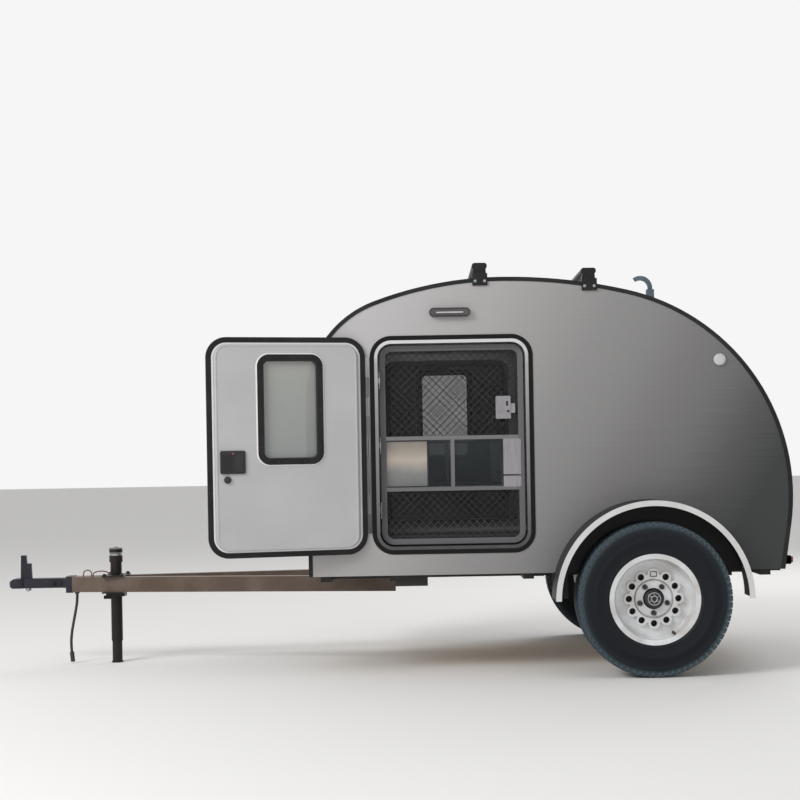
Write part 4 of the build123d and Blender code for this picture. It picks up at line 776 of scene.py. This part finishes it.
def insectNet(shape):
    # One thin sheet in each zone, with the screen's rounded corners
    width = screen["right"] - screen["left"] - screen["stile"]
    middle = ((screen["left"] + screen["right"]) / 2, doorway["centre"][1])
    outline = roundedLoop(width, screen["height"] - screen["stile"], screen["radius"] - screen["stile"] / 2, 8, middle)
    for limit, cut in ((max, screen["bandTop"]), (min, screen["bandBottom"])):
        kept = [(x, limit(z, cut)) for x, z in outline]
        shape.faces.new([shape.verts.new((x, -grille["netOut"], z))
                         for i, (x, z) in enumerate(kept) if (x, z) != kept[i - 1]])


band = {
    "left": screen["left"] + screen["stile"],
    "paintedReflectionSpan": (0.014, 0.203),  # X of the left sliding pane, painted pale and tan as a painted reflection
    "plate": (0.557, 0.641),
    "plateGroove": 0.921,
    "handle": (0.5605, 1.236),
    "handleSize": (0.07, 0.106),
    "middle": (screen["bandTop"] + screen["bandBottom"]) / 2,
    "height": screen["bandTop"] - screen["bandBottom"] - screen["bar"],
}


def addUpright(shape, left, right, depth, thickness, height, bevel, segments=2):
    # A pane or strip in the band, its middle a depth outside the screen's inner face
    addBlock(shape, ((left + right) / 2, -screen["inner"] - depth, band["middle"]), (right - left, thickness, height),
             bevel, segments)


def bandPane(shape):
    addUpright(shape, band["left"] - 0.002, band["plate"][0], 0.0025, 0.002, band["height"] + 0.002, 0.0004, 1)


# Pale pane that stands in for a reflection: a painted reflection
def paneOfPaintedReflection(shape):
    addUpright(shape, *band["paintedReflectionSpan"], 0.0065, 0.003, band["height"] - 0.004, 0.0008)


def paneStops(shape):
    # Slide channels above and below the panes, and the moving pane's dark edge strips
    left, right = band["left"], band["plate"][0]
    for z in (screen["bandTop"] - screen["bar"] / 2 - 0.003, screen["bandBottom"] + screen["bar"] / 2 + 0.003):
        addBlock(shape, ((left + right) / 2, -screen["inner"] - 0.0055, z), (right - left, 0.009, 0.006), 0.001)
    for x in (band["paintedReflectionSpan"][1] + 0.004, band["plate"][0] - 0.006):
        addUpright(shape, x - 0.0045, x + 0.0045, 0.0065, 0.005, band["height"] - 0.006, 0.0012)


def bandPlate(shape):
    left, right = band["plate"]
    bottom, top = (screen[edge] - screen["bar"] / 2 for edge in ("bandBottom", "bandTop"))
    for foot, head in ((band["plateGroove"] + 0.003, top), (bottom + 0.012, band["plateGroove"] - 0.003)):
        addBlock(shape, ((left + right) / 2, -screen["outer"] + 0.001, (foot + head) / 2),
                 (right - left, 0.005, head - foot), 0.0015)


def pullHandle(shape):
    # Cast pull: plate, raised grip with a finger slot, thumb catch and two screws
    x, z = band["handle"]
    wide, high = band["handleSize"]
    out = -screen["outer"]
    addBlock(shape, (x + 0.036, out + 0.002, z - 0.004), (wide * 0.55, 0.004, high * 0.42), 0.0012)
    addBlock(shape, (x, out - 0.002, z), (wide, 0.006, high), 0.0026)
    addBlock(shape, (x - 0.016, out - 0.0065, z + 0.01), (wide * 0.34, 0.006, high * 0.6), 0.0026)
    addBlock(shape, (x + 0.016, out - 0.006, z - 0.018), (wide * 0.4, 0.005, high * 0.24), 0.002)
    for dz in (high * 0.4, -high * 0.4):
        addScrew(shape, (x + 0.014, out - 0.005, z + dz), (0, -1, 0), 0.0035)


def pullSlot(shape):
    x, z = band["handle"]
    addBlock(shape, (x + 0.018, -screen["outer"] - 0.0054, z + 0.018), (0.01, 0.0012, 0.022), 0.0005)
    addBlock(shape, (x + 0.022, -screen["outer"] - 0.0088, z - 0.018), (0.012, 0.001, 0.01), 0.0004)


onBothSides("screen_near", "trailer", (
    (screenGrille, "screen_mesh", None, "screen_mesh"),
    (insectNet, "screen_mesh", "net"),
), smooth=0)
onBothSides("screen_near", "trailer", (
    (bandPane, "window_glass", "pane"),
    (paneOfPaintedReflection, "window_glass", "paneOfPaintedReflection"),
    (paneStops, "screen_frame", "hub_black"),
    (bandPlate, "screen_frame", "plate"),
    (pullHandle, "screen_frame", "plate"),
    (pullSlot, "screen_frame", "gasket"),
))
print("screens dressed")


# Tyres: lathed casing with ribbed sidewalls, and tread blocks in five rows
tread = {
    "depth": 0.0075,
    "pitches": 72,
    "rows": [(-0.083, 0.031, 0.0), (-0.044, 0.028, 0.5), (0.0, 0.036, 0.0), (0.044, 0.028, 0.5), (0.083, 0.031, 0.0)],
    "gap": 0.004,
    "slant": 0.35,
    "shoulder": 0.083,  # offset of the outer rows
    "base": 0.004,  # how deep a block is sunk into the casing
    "lug": (0.015, 0.005, 0.022),
    "lugPlace": (0.0985, 0.331, 18),  # offset, radius and lean in degrees
    # (radius, offset from the wheel's middle), from the outer bead up to the crown
    "sidewall": [(0.1935, 0.0875), (0.203, 0.0915), (0.209, 0.0965), (0.214, 0.099), (0.217, 0.1), (0.2185, 0.1015),
                 (0.2215, 0.1015), (0.223, 0.1005), (0.24, 0.1042), (0.262, 0.1062), (0.264, 0.1072), (0.268, 0.1072),
                 (0.27, 0.1064), (0.29, 0.106), (0.306, 0.104), (0.31, 0.1045), (0.318, 0.1038), (0.321, 0.102),
                 (0.333, 0.0985), (0.3395, 0.095), (0.3425, 0.09), (0.344, 0.08), (0.345, 0.05)],
    "crown": 0.3452,
}


def onTread(angle, offset, height, lean=0.0):
    # Turn that stands a block on the tread, at an angle round the axle and an offset from the wheel's middle
    return (Matrix.Translation((wheel["centre"][0], -wheel["out"] - offset, wheel["centre"][1]))
            @ Matrix.Rotation(-angle, 4, "Y") @ Matrix.Translation((0, 0, height)) @ Matrix.Rotation(lean, 4, "X"))


def tyre(shape):
    side = tread["sidewall"]
    profile = side + [(tread["crown"], 0.0)] + [(radius, -offset) for radius, offset in reversed(side)]
    addDisc(shape, (wheel["centre"][0], -wheel["out"], wheel["centre"][1]), (0, -1, 0), profile, 144, ring=True)
    pitch = 2 * math.pi / tread["pitches"]
    height = tread["depth"] + tread["base"]
    for offset, width, phase in tread["rows"]:
        shoulder = abs(offset) == tread["shoulder"]
        drop = 0.001 + 0.002 * (offset / tread["shoulder"]) ** 2
        slant = 0 if shoulder else math.copysign(tread["slant"], offset)
        for i in range(tread["pitches"]):
            made = addBlock(shape, (0, 0, 0), (pitch * wheel["radius"] - tread["gap"], width, height), 0.0012, 1)
            for vert in made:
                if shoulder and vert.co.y * offset > 0 and abs(vert.co.y) > width * 0.3 and vert.co.z > 0:
                    vert.co.z -= 0.005
                vert.co.x += vert.co.y * slant
            turn = onTread((i + phase) * pitch, offset, wheel["radius"] - drop - height / 2)
            bmesh.ops.transform(shape, matrix=turn, verts=made)
    lugOut, lugRadius, lean = tread["lugPlace"]
    for i in range(tread["pitches"]):  # shoulder lugs that run down onto the sidewall
        for side in (-1, 1):
            made = addBlock(shape, (0, 0, 0), tread["lug"], 0.0012, 1)
            turn = onTread((i + 0.5) * pitch, side * lugOut, lugRadius, math.radians(lean) * side)
            bmesh.ops.transform(shape, matrix=turn, verts=made)


wheelDress = {
    "valveAngle": -61,
    "valveCircle": 0.176,
    "valveOut": 0.93,
    "capOut": 0.954,
    "capBoltCircle": 0.021,
    "padOut": 0.926,
    "markRadius": 0.112,
}


def wheelFace(radius, angle, out):
    x, z = pointAround(wheel["centre"], radius, angle)
    return x, -out, z


def valveStem(shape):
    addDisc(shape, wheelFace(wheelDress["valveCircle"], wheelDress["valveAngle"], wheelDress["valveOut"]), (0, -1, 0),
            [(0.0075, 0.0), (0.0065, 0.01), (0.005, 0.014), (0.005, 0.028), (0.0062, 0.03), (0.0062, 0.042),
             (0.0045, 0.044)], 16)


def capRings(shape):
    # Pressed rings on the grease cap and the bolt circle between them
    out = wheelDress["capOut"] - 0.0006
    for inner, outer in ((0.026, 0.03), (0.011, 0.016)):
        section = [(inner, -0.001), (inner, 0.0012), (inner + 0.001, 0.0018), (outer - 0.001, 0.0018), (outer, 0.0012),
                   (outer, -0.001)]
        addDisc(shape, wheelFace(0, 0, out), (0, -1, 0), section, 40, ring=True)
    for i in range(6):
        addScrew(shape, wheelFace(wheelDress["capBoltCircle"], 30 + 60 * i, out), (0, -1, 0), 0.0024)


def wheelMark(shape):
    # Blank cast pad where the ring of hand holes skips one
    x, y, z = wheelFace(wheelDress["markRadius"], 90, wheelDress["padOut"])
    for side in (-1, 1):
        addBlock(shape, (x, y - 0.006, z + side * 0.011), (0.03, 0.005, 0.003), 0.0008)
        addBlock(shape, (x + side * 0.0135, y - 0.006, z), (0.003, 0.005, 0.024), 0.0008)


onBothSides("wheel_near", "wheel_far", (
    (tyre, "tyre_rubber", None, "tyre"),
    (valveStem, "tyre_rubber", "harness_black"),
    (capRings, "hub_black", "steel"),
    (wheelMark, "rim_silver", "hub_black"),
))
print("wheels dressed")


# Mattress: foam pad swelled by cloth pressure, with piped seams round its top and bottom
pad = {
    "voxel": 0.02, "shrink": 0.01, "cap": 0.011, "pressure": 4.0, "pipe": 0.0045, "pipeInset": 0.02,
    "corner": 0.04, "rim": 0.022, "pipeCut": 0.06,
}
padLow, padHigh = (Vector(corner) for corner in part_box("mattress"))


def mattressPad(shape):
    size = padHigh - padLow - Vector((2, 2, 1)) * pad["shrink"]
    addBlock(shape, (0, 0, 0), size)
    upright = [edge for edge in shape.edges if abs(edge.verts[0].co.z - edge.verts[1].co.z) > size.z / 2]
    bmesh.ops.bevel(shape, geom=upright, offset=pad["corner"], segments=5, affect="EDGES")
    rims = [edge for edge in shape.edges if abs(edge.verts[0].co.z - edge.verts[1].co.z) < 1e-6
            and any(abs(face.normal.z) > 0.9 for face in edge.link_faces)
            and any(abs(face.normal.z) < 0.1 for face in edge.link_faces)]
    bmesh.ops.bevel(shape, geom=rims, offset=pad["rim"], segments=3, affect="EDGES")
    bmesh.ops.translate(shape, vec=(padLow + padHigh) / 2 - Vector((0, 0, pad["shrink"] / 2)), verts=shape.verts)


def appliedMesh(piece):
    view = bpy.context.evaluated_depsgraph_get()
    mesh = bpy.data.meshes.new_from_object(piece.evaluated_get(view))
    piece.modifiers.clear()
    return mesh


def keepInBox(mesh):
    for vert in mesh.vertices:
        vert.co = Vector(min(max(vert.co[k], padLow[k]), padHigh[k]) for k in range(3))


def swelledMattress():
    piece = addPiece("mattressPad", meshOf(mattressPad), "trailer", "mattress_cloth", smooth=0)
    remesh = piece.modifiers.new("evenGrid", "REMESH")
    remesh.mode = "VOXEL"
    remesh.voxel_size = pad["voxel"]
    start = piece.data = appliedMesh(piece)
    cloth = piece.modifiers.new("foamPressure", "CLOTH")
    cloth.settings.use_pressure = True
    cloth.settings.uniform_pressure_force = pad["pressure"]
    cloth.settings.effector_weights.gravity = 0
    for step in range(1, 21):
        bpy.context.scene.frame_set(step)
    swelled = appliedMesh(piece)
    for vert, grown in zip(start.vertices, swelled.vertices):
        move = grown.co - vert.co
        if move.length > pad["cap"]:
            move *= pad["cap"] / move.length
        vert.co += move
    bpy.data.meshes.remove(swelled)
    bpy.context.scene.frame_set(1)
    keepInBox(start)  # flat where it lies on the floor, and inside its CAD box
    softer = piece.modifiers.new("softer", "SUBSURF")
    softer.levels = softer.render_levels = 1
    piece.data = appliedMesh(piece)
    for face in piece.data.polygons:
        face.use_smooth = True
    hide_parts("mattress")
    return piece


def mattressPiping(piece):
    tree = KDTree(len(piece.data.vertices))
    for i, vert in enumerate(piece.data.vertices):
        tree.insert(vert.co, i)
    tree.balance()
    width, depth = (padHigh - padLow)[:2]
    loop = roundedLoop(width, depth, pad["corner"], 6, (padLow + padHigh) / 2)
    ring = []
    for (x, y), (nextX, nextY) in zip(loop, loop[1:] + loop[:1]):  # long sides are cut up, to follow the bulge
        cuts = max(1, round(math.hypot(nextX - x, nextY - y) / pad["pipeCut"]))
        ring += [(x + (nextX - x) * k / cuts, y + (nextY - y) * k / cuts) for k in range(cuts)]
    for name, z in (("mattressPipingTop", padHigh.z - pad["pipeInset"]),
                    ("mattressPipingFoot", padLow.z + pad["pipeInset"])):
        path = [(*tree.find((x, y, z))[0][:2], z) for x, y in ring]
        mesh = meshOf(addTube, path, pad["pipe"], 8, True)
        keepInBox(mesh)
        addPiece(name, mesh, "trailer", "mattress_cloth", "piping", 60)


mattress = swelledMattress()
mattressPiping(mattress)
print("mattress made")


# Body dressing: screws along the edge trim, porch lamp slits, fender bolts, roof rack feet and the tail's details
trim = {"screwRadius": 0.0035, "screwOut": 0.742, "spacings": (10.5, 5.4, 3.8, 9.6)}  # degrees, one for each arc


def trimScrews(shape):
    for (centre, radius, start, end), spacing in zip(body["outline"], trim["spacings"]):
        count = round(abs(end - start) / spacing)
        for i in range(count + 1):
            angle = start + (end - start) * i / count
            x, z = pointAround(centre, radius + body["railHeight"], angle)
            outX, outZ = pointAround((0, 0), 1, angle)
            addScrew(shape, (x, -trim["screwOut"], z), (outX, 0, outZ), trim["screwRadius"], 0.0012)


lamp = {"centre": (0.318, 1.678), "out": 0.788, "slit": (0.128, 0.004, 0.009), "rim": (0.19, 0.042, 0.02)}


def porchSlit(shape):
    x, z = lamp["centre"]
    addBlock(shape, (x, -lamp["out"] + 0.0005, z - 0.001), lamp["slit"], 0.0018)


def porchRim(shape):
    foot, face = lamp["out"] - 0.001, lamp["out"] + 0.0012
    section = [(-0.001, foot), (-0.001, face), (-0.0045, face), (-0.006, foot)]
    frameAround(shape, lamp["rim"], lamp["centre"], section, steps=8)


fender = {"boltOut": 0.7655, "bolts": [(0.795, 0.415), (0.815, 0.445), (0.795, 0.375)]}


def fenderBolts(shape):
    for x, z in fender["bolts"]:
        addScrew(shape, (x, -fender["boltOut"], z), (0, -1, 0), 0.007)


rack = {"bars": [(0.46, 1.8224), (0.966, 1.791)], "out": 0.7698, "boltHalfSpan": 0.022}


def rackBolts(shape):
    for x, z in rack["bars"]:
        for side in (-1, 1):
            place = (x + side * rack["boltHalfSpan"], -rack["out"] + 0.0005, z - 0.002)
            addHexNut(shape, place, (0, -1, 0), 0.011, 0.005)


tail = {
    "arc": body["outline"][3][:2], "latchAngle": -5.0, "latchY": 0.46, "stripOut": 0.7195, "stripFoot": (1.8545, 0.56),
    "lensOut": 1.9056, "lensZ": 0.5035, "lensY": -0.656, "lenses": 9, "lensPitch": 0.014,
}


def hatchLatch(shape, y):
    # Compression latch: black dish with a lifting paddle and key barrel
    x, z = pointAround(*tail["arc"], tail["latchAngle"])
    turn = Matrix.Rotation(math.radians(-tail["latchAngle"]), 4, "Y")
    addBlock(shape, (0, 0, 0), (0.012, 0.118, 0.088), 0.004)
    addBlock(shape, (0.008, 0.004, 0.012), (0.008, 0.08, 0.048), 0.003)
    addBlock(shape, (0.013, 0.004, 0.022), (0.006, 0.07, 0.014), 0.002)
    addDisc(shape, (0.006, 0, -0.026), (1, 0, 0), [(0.0105, 0.0), (0.0105, 0.004), (0.0085, 0.006), (0.003, 0.006)])
    bmesh.ops.transform(shape, matrix=Matrix.Translation((x, y, z)) @ turn, verts=shape.verts)


def hatchStrip(shape):
    # Rubber bulb along the hatch's side edge, in the gap to the wall
    centre, radius = tail["arc"]
    path = [pointAround(centre, radius - 0.0035, angle) for angle in range(68, -8, -2)] + [tail["stripFoot"]]
    addTube(shape, [(x, -tail["stripOut"], z) for x, z in path], 0.0022, 8)


def tailLenses(shape):
    for i in range(tail["lenses"]):
        place = (tail["lensOut"] - 0.001, tail["lensY"] + i * tail["lensPitch"], tail["lensZ"])
        addBlock(shape, place, (0.0035, 0.0085, 0.022), 0.0012)


onBothSides("trailer", "trailer", (
    (trimScrews, "edge_black", "steel"),
    (porchSlit, "lamp_dark", "cap_white"),
    (porchRim, "lamp_dark", "hub_black"),
    (fenderBolts, "fender_black", "steel"),
    (rackBolts, "rack_black", "steel"),
    (tailLenses, "lamp_red", None),
))
onBothSides("hatch", "hatch", ((hatchStrip, "edge_black", "gasket"),))
for side, y in (("Near", -tail["latchY"]), ("Far", tail["latchY"])):
    addPiece("hatchLatch" + side, meshOf(hatchLatch, y), "hatch", "latch_black")
print("body and tail dressed")


# Inlet cover on the near wall
inlet = {"centre": (1.563, 1.439), "out": 0.772, "radius": 0.0215}


def inletCover(shape):
    # Domed flap with a thumb lip at its foot and two hinge knuckles at its head
    x, z = inlet["centre"]
    out, radius = inlet["out"], inlet["radius"]
    addDisc(shape, (x, -out, z), (0, -1, 0), [(radius, -0.001), (radius, 0.0012), (radius - 0.0015, 0.0022),
                                              (radius * 0.5, 0.0028), (0.002, 0.003)], 36)
    addBlock(shape, (x, -out - 0.0014, z - radius), (0.012, 0.0045, 0.007), 0.0015)
    for dx in (-0.0105, 0.0035):
        addDisc(shape, (x + dx, -out - 0.0005, z + radius - 0.001), (1, 0, 0), [(0.003, 0.0), (0.003, 0.007)], 12)


# Tongue, coupler and jack: weld beads, bolts, ball clamp nut, tie hoops, and zinc rings on the jack that are painted
# highlights
hitch = {
    "nut": (-1.824, 0.383),
    "collar": (-1.59, 0.05, 0.361, 0.437),  # X of its rear edge, half width, foot and head
    "neckBolts": [-1.69, -1.655],
    "neckBoltPlace": (0.031, 0.406),  # distance from the middle, height
    "plateBoltPlace": (0.096, 0.443),
    "railTop": 0.437,
    "railFoot": (-1.59, 0.027),  # X and Y of each rail's middle line at its two ends
    "railHead": (0.041, 0.31),
    "jackPlates": [-1.433, -1.323],
    "rodRadius": 0.003,
    "hoops": [(-1.536, -1.495, 0.033), (-1.485, -1.404, 0.028)],
}


def railY(x):
    (footX, footY), (headX, headY) = hitch["railFoot"], hitch["railHead"]
    return footY + (x - footX) * (headY - footY) / (headX - footX)


def weldBead(shape, start, end, radius=0.0032, step=0.0045):
    # A row of overlapping ripples
    start, end = Vector(start), Vector(end)
    count = max(2, int((end - start).length / step))
    along = (end - start).normalized()
    for i in range(count + 1):
        place = start.lerp(end, i / count) - along * step * 0.5
        addDisc(shape, place, along, [(radius * 0.8, 0.0), (radius, step * 0.5), (radius * 0.8, step)], 8)


def hitchWelds(shape):
    back, half, foot, head = hitch["collar"]
    weldBead(shape, (back, -half, head + 0.001), (back, half, head + 0.001))
    for side in (-1, 1):
        weldBead(shape, (back, side * half, foot + 0.004), (back, side * half, head - 0.004))
        for x in hitch["jackPlates"]:  # where the jack's plates cross the rails
            y, z = railY(x), hitch["railTop"] + 0.0005
            weldBead(shape, (x, side * (y - 0.02), z), (x, side * (y + 0.022), z), 0.0028)


def hitchBolts(shape):
    neckOut, neckZ = hitch["neckBoltPlace"]
    plateOut, plateZ = hitch["plateBoltPlace"]
    for side in (-1, 1):
        for x in hitch["neckBolts"]:
            addHexNut(shape, (x, side * neckOut, neckZ), (0, side, 0), 0.019, 0.009)
        for x, inward in zip(hitch["jackPlates"], (0.012, -0.012)):
            addHexNut(shape, (x + inward, side * plateOut, plateZ), (0, 0, 1), 0.017, 0.008)


def ballClamp(shape):
    # Clamp nut and washer under the coupler, on the lever's bolt
    x, z = hitch["nut"]
    addDisc(shape, (x, 0, z + 0.004), (0, 0, -1), [(0.016, 0.0), (0.016, 0.004), (0.01, 0.0045)], 24)
    addHexNut(shape, (x, 0, z), (0, 0, -1), 0.026, 0.013)


def tieHoop(shape, startX, endX, rise):
    # A bent rod on the near rail's top
    top, bend = hitch["railTop"], hitch["railTop"] + rise * 0.45
    middle, half = (startX + endX) / 2, (endX - startX) / 2
    path = [(startX, top - 0.002), (startX, bend)]
    for i in range(1, 12):
        angle = math.pi - math.pi * i / 12
        path.append((middle + half * math.cos(angle), bend + rise * 0.55 * math.sin(angle)))
    path += [(endX, bend), (endX, top - 0.002)]
    addTube(shape, [(x, -railY(middle), z) for x, z in path], hitch["rodRadius"])


jack = {"x": -1.378, "capTop": 0.578, "capRadius": 0.0335, "tubeRadius": 0.0285, "bandZ": 0.5395}


def jackRingsPaintedHighlight(shape):
    # Zinc band under the cap, rims on the cap's two edges and the pivot bolt on top; the pale band and rims are
    # painted highlights on the cap
    top, rim = jack["capTop"], jack["capRadius"] + 0.0008
    for radius, foot, head in ((jack["tubeRadius"] + 0.0012, jack["bandZ"], jack["bandZ"] + 0.011),
                               (rim, top - 0.0255, top - 0.0225), (rim, top - 0.0045, top - 0.0015)):
        inner = radius - 0.003
        section = [(inner, foot), (radius - 0.0006, foot), (radius, foot + 0.0006), (radius, head - 0.0006),
                   (radius - 0.0006, head), (inner, head)]
        addDisc(shape, (jack["x"], 0, 0), (0, 0, 1), section, 36, ring=True)
    addHexNut(shape, (jack["x"], 0, top - 0.0005), (0, 0, 1), 0.019, 0.006)


for build, slot, finish in (
    (inletCover, "cap_white", None),
    (hitchWelds, "chassis_black", "tongue"),
    (hitchBolts, "coupler_black", None),
    (ballClamp, "coupler_black", "steel"),
    (jackRingsPaintedHighlight, "coupler_black", "steel"),
):
    addPiece(build.__name__, meshOf(build), "trailer", slot, finish)
for name, hoop in zip(("tieHoopA", "tieHoopB"), hitch["hoops"]):
    addPiece(name, meshOf(tieHoop, *hoop), "trailer", "coupler_black", "rust")
print("inlet and hitch dressed")

# Floor and soft studio light
stage = {
    "halfFloor": 60, "floor": "#f3f2f0", "background": "#f6f6f6", "world": 0.52,
    "key": 460, "fill": 140, "boxSize": (4.0, 3.0),
}
floorMesh = bpy.data.meshes.new("studioFloor")
floorCorners = [(x * stage["halfFloor"], y * stage["halfFloor"], 0) for x, y in ((-1, -1), (1, -1), (1, 1), (-1, 1))]
floorMesh.from_pydata(floorCorners, [], [(0, 1, 2, 3)])
addObject("studioFloor", floorMesh)
floorMaterial = newMaterial("paleStudioFloor")[0]
floorMesh.materials.append(closeMaterial(floorMaterial, {"Base Color": stage["floor"], "Roughness": 0.85}))

world = bpy.data.worlds.new("softStudio")
bpy.context.scene.world = world
world.use_nodes = True
tree = world.node_tree
tree.nodes.clear()
rays = addNode(tree, "LightPath").outputs
seen = addNode(tree, "Math", {0: rays["Is Camera Ray"], 1: rays["Is Transmission Ray"]}, operation="MAXIMUM")
shown = addNode(tree, "Math", {0: seen, 1: rays["Is Glossy Ray"]}, operation="MAXIMUM")
lit = addNode(tree, "Background", {"Color": "#ffffff", "Strength": stage["world"]})
behind = addNode(tree, "Background", {"Color": stage["background"], "Strength": 1.0})
addNode(tree, "OutputWorld", {"Surface": addNode(tree, "MixShader", {0: shown, 1: lit, 2: behind})})

for name, place, aim, power in (
    ("keySoftBox", (-5.5, -6.0, 5.5), (0.2, 0, 0.9), stage["key"]),
    ("fillSoftBox", (4.0, 5.5, 5.0), (0.3, 0, 0.8), stage["fill"]),
):
    light = bpy.data.lights.new(name, "AREA")
    light.shape = "RECTANGLE"
    light.size, light.size_y = stage["boxSize"]
    light.energy = power
    softBox = addObject(name, light)
    softBox.location = place
    softBox.rotation_mode = "QUATERNION"
    softBox.rotation_quaternion = (Vector(aim) - Vector(place)).to_track_quat("-Z", "Y")
bpy.context.scene.view_settings.view_transform = "Standard"
print("stage lit")
